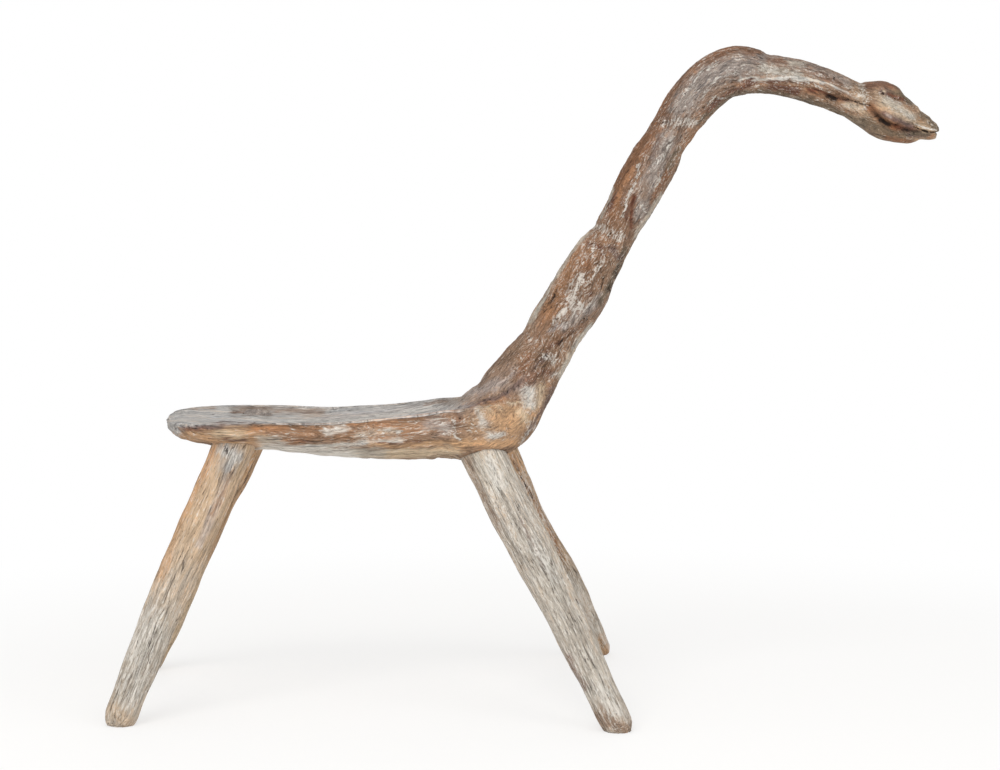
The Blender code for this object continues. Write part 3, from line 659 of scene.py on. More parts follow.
# %% Cuts and swellings, in pixels wide and metres deep
CARVING = strokes(
    ("ring above the lower neck", 3.2, 0.0009, (595, 226), (610, 233), (629, 243)),
    ("ring under the top bend", 2.6, 0.0009, (662, 121), (678, 123), (696, 121)),
    ("ring past the top bend", 2.6, 0.0007, (757, 50), (763, 66), (762, 90)),
    ("waist behind the head", 3.0, 0.0009, (861, 82), (865, 98), (866, 122)),
    ("seam of the bend", 1.7, 0.0014, (445, 409), *BEND_SEAM, (548, 353)),
    ("facet of the heel", 7.0, 0.0012, (529, 391), (531, 401)),
    ("ridge over the heel", 1.5, -0.0007, *RIDGE_OVER_HEEL),
    ("cup before the heel", 8.0, 0.0008, (480, 420), (492, 428)),
    ("chip beside the rear leg", 1.6, 0.0012, (454, 421), (456, 440)),
    ("second chip", 1.6, 0.0010, (472, 410), (470, 432)),
    ("groove on the lower neck", 1.3, 0.0016, *NECK_GROOVE),
    ("red slot", 1.7, 0.0026, (635, 196), (631, 209), (632, 226)),
    ("hollow at the neck's front", 1.5, 0.0020, *FRONT_HOLLOW),
    ("hollow at the neck's back", 1.8, 0.0020, *BACK_HOLLOW),
    ("crack at the neck's back", 1.2, 0.0016, (609, 291), (613, 281)),
    ("long groove to the head", 1.5, 0.0016, (800, 88), (812, 89.5), (836, 97.5), (860, 102.5),
     (871, 105.5)),
    ("slot in the groove", 2.0, 0.0034, (827, 97), (838, 99.5)),
    ("wormhole", 1.1, 0.0016, (863, 121)),
    ("brow", 2.8, -0.0012, (880, 85.5), (892, 86.5), (901, 92.5)),
    ("hollow of the eye", 4.0, 0.0024, (884, 91.5), (893, 94.5), (902, 98.5)),
    ("eyeball", 3.0, -0.0034, (884, 91.5), (888, 93)),
    ("lower lid", 1.5, 0.0020, (879, 91), (886.5, 96.2), (902.6, 100), (909, 102.5)),
    ("upper lid", 1.4, 0.0014, (880, 89), (886, 87.6), (896, 91), (903, 96), (910, 101)),
    ("cheek", 5.0, -0.0016, (892, 106), (910, 116)),
    ("slope of the forehead", 4.5, 0.0019, (904, 91), (911, 96.5), (916.5, 102)),
    ("bridge of the snout", 3.0, -0.0014, (922, 112.5), (928, 117.5)),
    ("top of the crown", 4.0, -0.0014, (866, 80.5), (877, 79.5), (886, 80.5)),
    ("line over the groove", 1.2, -0.0007, (741, 79.6), (789, 78.5), (813, 79.6), (831, 85.5), (846, 93),
     (856, 98.5)),
    ("furrow", 2.4, 0.0044, (877, 116.5), (883, 121), (889, 124.5), (897, 127)),
    ("furrow's start", 2.4, 0.0016, (871, 107), (877, 116.5)),
    ("furrow's end", 1.8, 0.0022, (897, 127), (908, 130.4), (918, 133)),
    ("lobe over the furrow", 3.2, -0.0022, (886, 114.5), (895, 119.5), (905, 124.5)),
    ("lobe behind the furrow", 3.0, -0.0014, (873, 107), (879, 112)),
    ("throat", 5.5, -0.0009, (872, 125), (888, 133)),
    ("upper lip", 1.3, -0.0006, (915, 124.8), (929, 130), (936, 131.2)),
    ("mouth", 0.9, 0.0036, (915, 127), (923, 130.6), (930, 132.2), (939, 132.8)),
    ("nostril", 1.0, 0.0010, (930, 125.5), (932, 126.5)),
    ("front of the jaw", 2.0, 0.0022, (939.4, 133.4), (938.4, 137)),
    ("dip past the top bend", 4.0, 0.0020, (768, 53), (771, 54)),
    ("underside by the front legs", 5.0, 0.0030, (266, 451), (276, 453)),
    ("underside of the front end", 3.0, 0.0022, (186, 442), (208, 446)),
    ("underside by the rear legs", 5.0, 0.0026, (440, 460), (454, 460)),
)
print(len(CARVING), "cuts and swellings")

# %% Layers of the worked surface
Layer = namedtuple("Layer", "along across deep sunk seed")  # how many to the metre, and metres of depth
LUMPS = Layer(26.0, 36.0, 0.0010, 0.3, 3.0)
CUPS = Layer(62.0, 95.0, 0.0009, 0.8, 11.0)
FURROWS = Layer(30.0, 170.0, 0.0010, 0.2, 23.0)
CHECKS = Layer(150.0, 400.0, 0.0007, -0.1, 37.0)
BROAD_OCTAVES = 2  # for layers that have no finer form in them
SMOOTH_HEAD_SHARE = 0.25  # how much of these layers the finely carved head keeps
SMOOTH_FADE = 0.01  # metres before and behind the waist in which they give way

SEAT_DRAW = 0.3  # the seat's straight grain is drawn out, so its streaks are longer than the neck's
BENDING = (SLAB_LENGTH - 0.05, SLAB_LENGTH + 0.09)  # along the wood, where the one gives way to the other
DRAW_STEPS = 400  # in which the drawn length is added up, over a metre of wood


def drawn_out(grain):
    """The grain's coordinates with its length drawn out on the seat."""
    steps = np.linspace(0.0, 1.0, DRAW_STEPS)
    rate = SEAT_DRAW + (1.0 - SEAT_DRAW) * smooth_step(steps, *BENDING)
    drawn = grain.copy()
    drawn[..., 0] = np.interp(grain[..., 0], steps, np.cumsum(rate) * (steps[1] - steps[0]))
    return drawn


def wood_depth(piece, cuts, views):
    """How far each point lies under the plain skin, in metres."""
    flat = piece.grain.reshape(-1, 3)
    drawn = drawn_out(piece.grain)
    depth = LUMPS.deep * (LUMPS.sunk + layer_noise(piece.grain, LUMPS, BROAD_OCTAVES))
    depth += CUPS.deep * (CUPS.sunk - scoops(piece.grain, CUPS))
    depth += FURROWS.deep * (FURROWS.sunk + layer_noise(drawn, FURROWS))
    depth += CHECKS.deep * (np.abs(layer_noise(drawn, CHECKS, BROAD_OCTAVES)) + CHECKS.sunk)
    carved = smooth_step(flat[:, 0], WAIST_AT - SMOOTH_FADE, WAIST_AT + SMOOTH_FADE)
    depth *= 1.0 - carved * (1.0 - SMOOTH_HEAD_SHARE)
    for stroke in cuts:
        depth += stroke.much * views.cover(stroke)
    return depth


crook_views = Views(crook.places, crook.normals, shift=0.0)
crook_depth = wood_depth(crook, CARVING, crook_views)
worked = crook.places - crook.normals * crook_depth.reshape(crook.places.shape[:2])[..., None]
worked = np.clip(worked, np.array(CROOK_LOW), np.array(CROOK_HIGH))
crook = Grid(worked, crook.grain, grid_normals(worked))
print("worked skin, deepest", round(float(crook_depth.max()) * 1000, 1), "mm, highest",
      round(float(-crook_depth.min()) * 1000, 1), "mm")

# %% [markdown]
# ## Colour in given strokes
# Four attributes go with the mesh. One is the grain, the wood's own coordinates. The other three are
# painted: a tint, how much lime is left, and how dark a mark is. The tint is mostly the wood's own colour,
# but it also holds painted shade in the carved slot and furrow, under the near rim and along the neck's
# edges (there partly dirt), painted highlights on the near rim, the groove, the lobe and the eye, and painted
# bounce light that keeps the seat's underside pale. The lime also carries painted glints, a painted highlight
# at the groove and painted bounce light on the underside. The dark marks are cracks, pits and stains, and
# painted shade in the deepest cuts and under the near rim. They only set the broad picture. The material
# breaks them up into streaks and specks, which is finer than any mesh could hold. Tints lie one over the
# other, so broad ones come first. Of the lime and of the dark marks the strongest counts. Bare places take
# lime away again, and smooth ones take the fine cracks away.

# %% Tints of the seat's top
SEAT_TOP_TINTS = tints(
    ("lilac", "near half of the top", 4.0, 0.5, (300, 421), (372, 416), (440, 406)),
    # painted highlight: a pale strip where the near rim catches the light
    ("chalk", "painted highlight beside the near rim", 1.8, 0.7, (290, 421.5), (335, 421), (372, 417.5),
     (440, 406.5)),
    ("clay", "brown streaks along the far rim", 1.3, 0.6, (188, 408.5), (215, 407.6)),
    ("clay", "rim streak", 1.6, 0.5, (230, 407), (272, 407.5)),
    ("olive", "rough patch", 3.4, 0.75, (234, 412), (250, 411.5), (268, 413)),
    ("bark", "brown of the rough patch", 1.3, 0.6, (233, 413), (252, 412.5), (271, 413.5)),
    ("clay", "tan over the rough patch", 1.2, 0.6, (240, 408.4), (270, 408.6)),
    ("plum", "crack in the top", 0.9, 0.8, (218, 422.4), (236, 423), (256, 422.6)),
    # painted shadow: a dark line below the near rim
    ("plum", "painted shadow line under the near rim", 2.0, 1.0, (181, 428), (204, 427.2), (222, 425.8)),
    ("clay", "scaly patch", 3.4, 0.7, (276, 410), (300, 410.5), (322, 412.5)),
    ("ash", "end grain of the top", 5.0, 0.9, (167, 418), (176, 412), (184, 409)),
    ("clay", "streaks before the bend", 1.6, 0.7, (425, 404), (446, 401.5)),
    ("olive", "shade before the bend", 3.0, 0.5, (440, 403), (470, 397)),
)
print(len(SEAT_TOP_TINTS), "tints of the seat's top")

# %% Tints of the crook's sides: the broad grounds
BROAD_TINTS = tints(
    ("bark", "brown of the neck", 30.0, 0.5, (525, 345), (560, 300), (620, 200), (665, 120), (700, 70),
     (760, 60)),
    ("rust", "rusty side", 11.0, 0.55, (300, 430), (350, 431), (400, 428), (445, 420)),
    ("honey", "front side", 7.0, 0.8, (176, 434), (215, 434), (262, 437)),
)
print(len(BROAD_TINTS), "tints of the crook's sides: the broad grounds")

# %% Tints of the seat's side
SEAT_SIDE_TINTS = tints(
    ("bone", "pale patch", 5.5, 0.8, (218, 432.5), (240, 434)),
    ("rust", "orange streak", 3.4, 0.9, (254, 427), (286, 428)),
    ("wine", "red-brown line of the front side", 1.2, 0.7, (224, 439.6), (246, 439.8)),
    ("rust", "under the near rim", 2.4, 0.8, (330, 426), (372, 421), (411, 416), (470, 405)),
    ("plum", "shadow under the near rim", 2.8, 1.0, (183, 428.2), (204, 427.8), (222, 426.4)),
    ("bark", "its brown lower edge", 1.6, 0.7, (177, 430.5), (188, 429.8), (205, 429)),
    ("stone", "rough grey patch", 3.4, 0.6, (260, 439), (280, 440)),
    ("rust", "orange behind the grey patch", 2.6, 0.7, (283, 441), (301, 442)),
    ("ash", "end grain", 4.2, 0.95, (167, 419), (171, 426), (177, 433)),
    ("chalk", "white patch on the side", 3.6, 0.6, *WHITE_PATCH),
    ("stone", "grey flakes on the side", 4.0, 0.45, (356, 436), (372, 432), (395, 431)),
    ("plum", "low dark streak", 1.0, 0.7, (226, 441), (247, 441.2)),
    ("honey", "lower front edge", 2.2, 0.8, (190, 438.5), (230, 443.5), (262, 445)),
    # painted bounce light over the wood's pale colour: the downward-facing underside is painted paler than the
    # wood
    ("whitewash_and_bounce_light", "pale underside with painted bounce light", 6.0, 0.9, (264, 450), (300, 453), (355, 455)),
    ("stone", "where the underside turns tan", 6.0, 0.7, (355, 454), (385, 454)),
    ("bone", "smooth lower band", 5.5, 1.0, (392, 454), (415, 453), (455, 451)),
    ("chalk", "pale line", 1.8, 0.8, (300, 446), (345, 445), (385, 441), (402, 440.5)),
    ("honey", "orange line", 2.2, 0.9, (370, 446), (410, 444.5), (445, 443), (515, 443)),
    ("wine", "red-brown line", 0.9, 0.8, (290, 440.8), (312, 441)),
    ("wine", "red-brown line below", 0.9, 0.8, (378, 443), (398, 442), (420, 441)),
    ("lilac", "rough pink ground", 7.0, 0.7, (430, 424), (448, 428)),
    ("wine", "dark ground near the chip", 2.2, 0.6, (460, 412), (458, 424)),
)
print(len(SEAT_SIDE_TINTS), "tints of the seat's side")

# %% Tints of the heel and the bend
HEEL_TINTS = tints(
    ("honey", "smooth heel", 17.0, 0.95, (488, 418), (512, 420), (528, 414)),
    ("honey", "band over the rear legs", 4.0, 0.9, (455, 443), (516, 443)),
    ("chalk", "pink cup", 5.0, 0.6, *PINK_CUP),
    ("chalk", "white under the cup", 3.0, 0.7, (489, 437), (500, 435)),
    ("bone", "pale heel patch", 4.5, 0.8, (520, 413), (528, 420)),
    ("bone", "ridge line", 1.6, 1.0, *RIDGE_OVER_HEEL),
    ("clay", "under the ridge line", 1.2, 0.5, (480, 412), (505, 405.5), (525, 405)),
    ("rust", "rim of the bend", 3.0, 0.7, (470, 407), (497, 401), (514, 393)),
    ("chalk", "chisel facet", 6.5, 0.8, (528, 391), (530, 402)),
    ("bone", "facet's rear", 4.0, 0.7, (541, 388), (540, 402)),
    ("lilac", "concave face", 10.0, 0.8, (472, 390), (492, 385), (512, 378)),
    ("clay", "brown of the concave face", 4.0, 0.7, (480, 384), (498, 372)),
    ("clay", "brown of the lower neck's front", 9.0, 0.8, (500, 368), (515, 350), (535, 325)),
    ("bark", "dark brown beside the seam", 3.4, 0.8, (515, 380), (522, 371), (530, 355)),
    ("clay", "shade over the seam", 4.0, 0.6, (470, 402), (497, 394), (515, 380)),
    ("plum", "seam of the bend", 1.8, 0.9, (440, 409.5), *BEND_SEAM, (548, 353)),
    ("wine", "red behind the seam", 4.0, 0.6, (524, 385), (538, 374), (549, 373)),
    ("plum", "heel's rear edge", 2.6, 0.8, (552, 388), (547, 402), (537, 420), (527, 434)),
)
print(len(HEEL_TINTS), "tints of the heel and the bend")

# %% Tints of the lower neck
LOWER_NECK_TINTS = tints(
    ("stone", "pale strip on the lower neck's back", 3.0, 0.8, (561, 378), (570, 358), (578, 341),
     (590, 326)),
    ("rust", "orange of the lower neck", 7.0, 0.8, (549, 313), (562, 279), (580, 247)),
    ("stone", "grey strip at the front", 2.2, 0.8, (530, 322), (543, 302), (561, 266), (580, 240),
     (593, 226)),
    ("bark", "brown of the lower neck's back", 5.0, 0.6, (558, 340), (570, 332), (582, 326)),
    ("dusk", "purple-grey back", 6.0, 0.8, (598, 299), (590, 308), (566, 325)),
    ("bark", "brown eye of wood", 6.0, 0.9, (589, 265)),
    ("wine", "red spot", 3.0, 0.9, (600.5, 247.5)),
    ("wine", "small red spot", 1.9, 0.9, (590, 293.5)),
    ("rust", "orange under the ring", 3.0, 0.7, (601, 236), (607, 243)),
    ("clay", "brown back of the lower neck", 3.0, 0.7, (613, 262), (606, 280)),
    # darker along the back edge: partly dirt, partly painted shade
    ("olive", "dark back edge", 2.6, 0.9, (627, 250), (620, 262), (614, 276), (606, 292), (600, 304)),
)
print(len(LOWER_NECK_TINTS), "tints of the lower neck")

# %% Tints of the middle neck and the ring under it
MIDDLE_NECK_TINTS = tints(
    ("bark", "outer band of the middle neck", 8.0, 1.0, (610, 212), (615, 195), (629, 163), (648, 134),
     (660, 117)),
    ("rust", "orange in the outer band", 2.6, 0.6, (612, 214), (622, 186), (632, 170)),
    ("stone", "grey edge of the middle neck", 1.8, 0.8, (602, 216), (608, 203), (614, 190)),
    ("dusk", "pale centre of the middle neck", 9.0, 0.9, (668, 138), (656, 168), (645, 192), (640, 214)),
    ("plum", "purple streak", 1.8, 0.5, (660, 136), (655, 150), (651, 158)),
    ("clay", "specks of brown", 3.0, 0.6, (646, 182), (644, 196)),
    # darker along the inner edge: partly dirt, partly painted shade
    ("olive", "dark inner edge", 2.4, 0.9, (679, 147), (673, 158), (668, 172)),
    ("bark", "brown inner edge", 2.4, 0.9, (668, 172), (660, 186), (652, 202)),
    ("stone", "grey inner edge", 2.0, 0.7, (661, 195), (650, 214), (636, 236)),
    ("wine", "dark red by the ring", 2.6, 0.8, (609, 208), (614, 198)),
    ("wine", "second red line", 1.2, 0.9, (629, 204), (625, 221)),
    ("plum", "dark hollow under the ring", 3.6, 0.7, (611, 248), (620, 258)),
    ("wine", "curl under the ring", 1.5, 0.8, (588, 243), (597, 246), (603, 254)),
    ("lilac", "lilac curl", 2.6, 0.7, (551, 331), (557, 325), (565, 326)),
    ("wine", "red curl", 1.5, 0.8, (547, 350), (553, 343), (560, 344)),
    ("bone", "cream chips at the back", 1.8, 0.8, (573, 358), (578, 345), (583, 334)),
)
print(len(MIDDLE_NECK_TINTS), "tints of the middle neck and the ring under it")

# %% Tints of the top bend
TOP_BEND_TINTS = tints(
    ("bark", "shade in the bend", 2.6, 0.6, (700, 112), (716, 106), (730, 98)),
    ("rust", "orange in the bend", 1.6, 0.8, (735, 84.5), (742, 83.5)),
    ("wine", "red spot in the bend", 1.8, 0.9, (748, 82.5), (753, 82)),
    ("wine", "red slot", 2.0, 1.0, (635, 195), (631, 209), (632, 228)),
    ("rust", "orange edge by the ring", 3.0, 0.9, (698, 129), (686, 147)),
    ("dusk", "grey-purple of the top bend", 15.0, 0.95, (680, 108), (698, 82), (725, 68), (750, 66)),
    ("bark", "outer band of the top bend", 6.0, 0.8, (660, 112), (672, 90), (688, 70), (706, 58),
     (722, 51)),
    ("bark", "top of the bend", 4.4, 0.8, (722, 50), (740, 47), (756, 51)),
    ("rust", "orange spot", 2.8, 0.8, (693, 71.5)),
    ("plum", "swirl", 3.2, 0.7, (714, 104), (718, 101)),
    # darker along the bend's inner edge: partly dirt, partly painted shade
    ("olive", "inner edge of the bend", 2.6, 0.9, (700, 122), (712, 110), (730, 97), (752, 92)),
    ("wine", "inner line", 1.8, 0.8, (707, 110), (730, 91), (752, 84)),
)
print(len(TOP_BEND_TINTS), "tints of the top bend")

# %% Tints of the upper neck
UPPER_NECK_TINTS = tints(
    ("dusk", "top of the upper neck", 5.0, 0.8, (762, 58), (790, 62), (820, 72), (848, 83)),
    ("stone", "white zone past the bend", 5.0, 0.6, *WHITE_ZONE),
    ("bark", "brown along the top", 2.6, 0.7, (768, 60), (783, 61), (800, 65)),
    ("bark", "brown further on", 3.0, 0.7, (806, 69), (822, 75), (840, 84)),
    ("stone", "grey chips of the top", 2.0, 0.7, (790, 63), (804, 64)),
    ("clay", "brown of the upper neck", 4.0, 0.8, (766, 80), (800, 84), (830, 92), (856, 97)),
    ("wine", "red under the white", 3.0, 1.0, (768, 87), (784, 88), (797, 91)),
    ("wine", "dark dab", 1.5, 0.8, (771, 80.6), (778, 80.4)),
    # painted highlight along the ridge over the groove
    ("chalk", "painted highlight over the groove", 1.3, 1.0, (741, 79.6), (766, 78.5), (789, 78.5), (809, 79),
     (831, 85.5), (846, 93), (858, 99.5)),
    ("wine", "shade under the light line", 1.1, 0.7, (741, 82.2), (770, 81.4), (795, 81.4), (811, 83)),
    ("bark", "dark patch under the groove", 2.2, 0.8, (838, 107.5), (848, 111), (858, 114)),
    # darker underneath: partly dirt, partly painted shade
    ("olive", "underside of the upper neck", 6.0, 0.9, (760, 93), (800, 101), (840, 115), (862, 124)),
    ("bark", "shade of the groove", 3.4, 0.8, (808, 90), (822, 93), (845, 100)),
    ("wine", "groove to the head", 1.6, 1.0, (808, 90), (822, 91.5), (836, 98.5), (858, 101), (871, 105.5)),
    # painted shade: pitch-dark inside the carved slot
    ("pitch", "slot", 2.3, 1.0, *HEAD_SLOT),
    ("bark", "brown over the groove", 3.0, 0.7, (838, 92), (853, 97)),
    ("stone", "pale under the groove", 3.0, 0.7, (846, 105), (862, 109)),
    ("bark", "brown line under it", 1.4, 0.8, (846, 111), (858, 114), (867, 117)),
)
print(len(UPPER_NECK_TINTS), "tints of the upper neck")

# %% Tints of the head
HEAD_TINTS = tints(
    ("tan", "ground of the head", 20.0, 1.0, (875, 105), (905, 118), (930, 128)),
    ("clay", "side of the head behind the eye", 6.0, 0.9, (870, 90), (873, 102)),
    ("rust", "blush on the snout", 4.0, 0.7, (908, 107), (916, 113), (921, 119)),
    ("stone", "cheek", 4.6, 0.7, (886, 100), (896, 106), (912, 116)),
    ("clay", "cheek's upper edge", 2.4, 0.7, (893, 99), (904, 103.5), (914, 110)),
    ("clay", "crown", 5.5, 0.4, *CROWN_BAND),
    ("wine", "dark red of the crown", 4.5, 0.7, *CROWN_BAND),
    ("olive", "forehead down to the snout", 3.6, 0.9, (896, 91), (905, 98), (911, 103)),
    ("plum", "eye", 4.0, 1.0, (882.5, 91), (889, 93.5)),
    # painted highlight on the eyeball
    ("bone", "painted highlight of the eye", 1.4, 0.7, (883.5, 90.8), (885, 91.5)),
    ("olive", "upper lid", 2.6, 0.7, (890, 92), (903, 98)),
    ("wine", "red under the lid", 1.9, 0.95, (889, 94.6), (895, 96.8), (903, 99.5)),
    ("olive", "top of the snout", 4.2, 0.85, (921, 115), (931, 123), (938, 130)),
    ("bark", "lobe behind the furrow", 3.2, 0.8, (872, 107), (879, 112.5)),
    ("olive", "throat", 7.5, 0.9, (866, 121), (885, 131), (905, 135)),
    ("plum", "lobe over the furrow", 3.6, 1.0, (884, 114), (893, 118.5), (905, 124), (912, 127)),
    ("bark", "shade of the furrow", 4.2, 0.9, (869, 107), (873, 112), (880, 118.5), (888, 123), (899, 127)),
    ("wine", "furrow's front", 3.0, 0.9, (893, 126), (905, 129), (918, 132)),
    ("pitch", "shade of the furrow's start", 2.2, 0.45, (872, 108.5), (879, 117.5)),
    # painted shade: pitch-dark in the deep carved furrow
    ("pitch", "furrow", 2.5, 1.0, *FURROW_BED),
    ("bark", "brown spot in front of it", 1.8, 0.8, (891, 126.8), (896, 129)),
    # painted shade at the furrow's end
    ("pitch", "dark in front of that", 1.8, 0.8, (904, 129.5), (912, 131.2), (920, 132.6)),
    # painted highlight on the raised lobe
    ("lilac", "painted highlight on the lobe", 1.2, 0.8, (887, 114.5), (891, 117)),
    ("plum", "jaw", 2.6, 0.8, (910, 135), (920, 136), (931, 136)),
    ("olive", "lower lip", 2.4, 0.9, (912, 133.5), (930, 135)),
    ("rust", "tip of the jaw", 1.8, 0.8, (929, 138), (933, 135.5)),
    ("bark", "patch under the throat", 2.4, 0.9, (886, 137.5), (899, 140.5), (911, 141.5)),
)
print(len(HEAD_TINTS), "tints of the head")
SIDE_TINTS = (
    BROAD_TINTS + SEAT_SIDE_TINTS + HEEL_TINTS + LOWER_NECK_TINTS + MIDDLE_NECK_TINTS
    + TOP_BEND_TINTS + UPPER_NECK_TINTS + HEAD_TINTS
)
print(len(SIDE_TINTS), "tints of the crook's sides in all")

# %% Where the lime is left, with a few painted highlights and painted bounce light
LIME_AND_PAINTED_LIGHT = strokes(
    ("specks on the seat's side", 14.0, 0.12, (180, 436), (300, 436), (400, 432), (480, 424)),
    ("specks on the heel", 22.0, 0.08, (490, 420), (530, 410)),
    ("specks on the lower neck", 26.0, 0.24, (545, 350), (565, 310), (600, 240)),
    ("specks on the middle neck", 26.0, 0.14, (625, 215), (665, 140)),
    ("specks on the top bend", 26.0, 0.10, (680, 110), (700, 80), (735, 65)),
    ("specks on the upper neck", 20.0, 0.12, (760, 70), (800, 80), (860, 100)),
    ("specks on the head", 20.0, 0.04, (880, 105), (930, 130)),
    ("white patch on the side", 4.0, 0.55, *WHITE_PATCH),
    ("small white patch", 2.0, 0.7, (318, 430), (322, 430)),
    ("chips by the dark streak", 1.2, 1.0, (289, 426.5), (293, 429.3)),
    ("white streak under the rim", 1.7, 0.8, (399, 422), (419, 421)),
    ("lens-shaped chip", 1.1, 1.0, (384, 430.8), (390, 430.5)),
    ("second lens", 1.1, 1.0, (395, 431), (401, 430.4)),
    ("grey-white patch", 3.0, 0.6, (356, 435), (364, 437)),
    ("light line", 0.9, 0.8, (380, 441.5), (398, 440.6)),
    ("torn wood", 6.0, 0.5, (436, 416), (450, 432)),
    ("chip beside the rear leg", 1.3, 1.0, (454, 421), (456, 438), (463, 440)),
    ("second chip", 1.3, 0.9, (474, 409), (470, 432)),
    ("pink cup", 5.0, 0.55, *PINK_CUP),
    # lime and painted bounce light: keeps the shaded underside pale
    ("pale underside with painted bounce light", 7.0, 0.9, (270, 450), (300, 452), (345, 454)),
    ("white under the cup", 3.0, 0.75, (489, 437), (502, 434)),
    ("ridge over the heel", 1.2, 0.3, *RIDGE_OVER_HEEL),
    ("specks behind the ridge", 6.0, 0.4, (527, 411), (530, 425)),
    ("heel's rear corner", 2.2, 0.8, (521, 443), (529, 431)),
    ("chisel facet", 6.0, 0.65, (528, 391), (530, 401)),
    ("white above the heel", 5.5, 0.8, (544, 355), (552, 360)),
    ("white swirl", 2.6, 0.8, (553, 375), (556, 374)),
    ("chalk on the lower neck", 8.0, 0.78, (580, 279), (571, 300), (577, 306)),
    ("chalk lower down", 3.6, 0.8, (553, 322), (566, 311)),
    ("chalk beside the eye of wood", 3.2, 0.7, (592, 277), (602, 261)),
    ("chalk by the back", 3.0, 0.5, (592, 302), (585, 312)),
    ("pale chips at the back", 2.2, 0.7, (574, 347), (590, 326)),
    ("ring above the lower neck", 6.0, 0.6, (595, 226), (608, 231), (620, 238)),
    ("white by the front", 2.4, 0.6, (592, 242), (594, 252)),
    ("long white streak", 1.4, 1.0, (639, 165), (635, 180), (626, 203), (624, 216)),
    ("white centre", 3.0, 0.6, (671, 138), (663, 158), (652, 164)),
    ("white by the inner edge", 2.0, 0.6, (661, 175), (654, 186)),
    ("white over the slot", 2.4, 0.5, (641, 202), (646, 212)),
    ("ring under the top bend", 5.0, 0.65, (664, 122), (678, 123), (694, 121)),
    ("strokes in the bend", 1.6, 0.6, (684, 96), (697, 76), (716, 62)),
    ("second stroke in the bend", 1.6, 0.6, (702, 96), (716, 80), (738, 72)),
    ("round the swirl", 1.2, 0.7, (708, 104), (714, 97), (722, 99)),
    ("white zone past the bend", 5.0, 0.5, *WHITE_ZONE),
    # painted highlight on the ridge at the groove's edge, laid on as lime
    ("painted highlight on the groove's edge", 1.0, 0.7, (780, 79), (806, 82), (830, 91)),
    ("top of the upper neck", 2.4, 0.4, (800, 66), (830, 78), (850, 88)),
    ("waist behind the head", 4.5, 0.65, (861, 85), (864, 97), (866, 106)),
    ("cheek, front", 3.0, 0.55, (893, 108.5), (903, 113), (914, 119)),
    ("cheek, upper", 2.4, 0.5, (880, 93.5), (890, 99), (900, 104)),
    ("upper lip", 1.2, 1.0, (915, 124.6), (922, 127), (936, 131)),
    # painted glints on the eyeball, laid on as lime
    ("painted glints of the eye", 0.9, 0.8, (882, 91.5), (886.5, 92)),
)
print(len(LIME_AND_PAINTED_LIGHT), "limed places")

# %% Where it is worn off or was never caught
BARE = strokes(
    # keeps lime out of the painted shadow below the near rim
    ("painted shadow line under the near rim", 2.6, 0.6, (186, 428), (232, 425.5)),
    ("orange under the near rim", 3.4, 0.5, (250, 428), (286, 427)),
    ("red-brown side under the rim", 3.0, 0.4, (350, 424), (411, 418), (470, 407.5)),
    ("smooth heel", 9.0, 0.45, (500, 418), (518, 416)),
    ("band over the rear legs", 4.0, 0.5, (440, 446), (512, 445)),
    ("seam of the bend", 2.4, 0.6, *BEND_SEAM),
    ("face over the seam", 5.0, 0.4, (478, 393), (500, 380)),
    ("brown patch on the neck", 6.0, 0.4, (540, 330), (548, 310)),
    ("brown eye of wood", 4.5, 0.5, (589, 265)),
    ("outer band of the middle neck", 3.4, 0.4, (615, 200), (630, 167), (648, 137)),
    ("red slot", 2.4, 0.6, (635, 197), (631, 209), (632, 226)),
    ("groove to the head", 2.6, 0.7, (806, 91), (822, 93.5), (838, 99.5), (860, 102.5)),
    ("crown", 5.0, 0.4, (870, 85), (890, 85), (903, 96)),
    ("eye", 3.0, 0.5, (882.5, 91), (893, 95)),
    ("lobes and furrow", 5.5, 0.8, (872, 109), (882, 118), (893, 122.5), (905, 127.5), (918, 132)),
    ("throat", 6.0, 0.3, (870, 124), (900, 137)),
    ("mouth", 1.6, 0.8, (920, 130), (938, 133)),
)
print(len(BARE), "bare places")

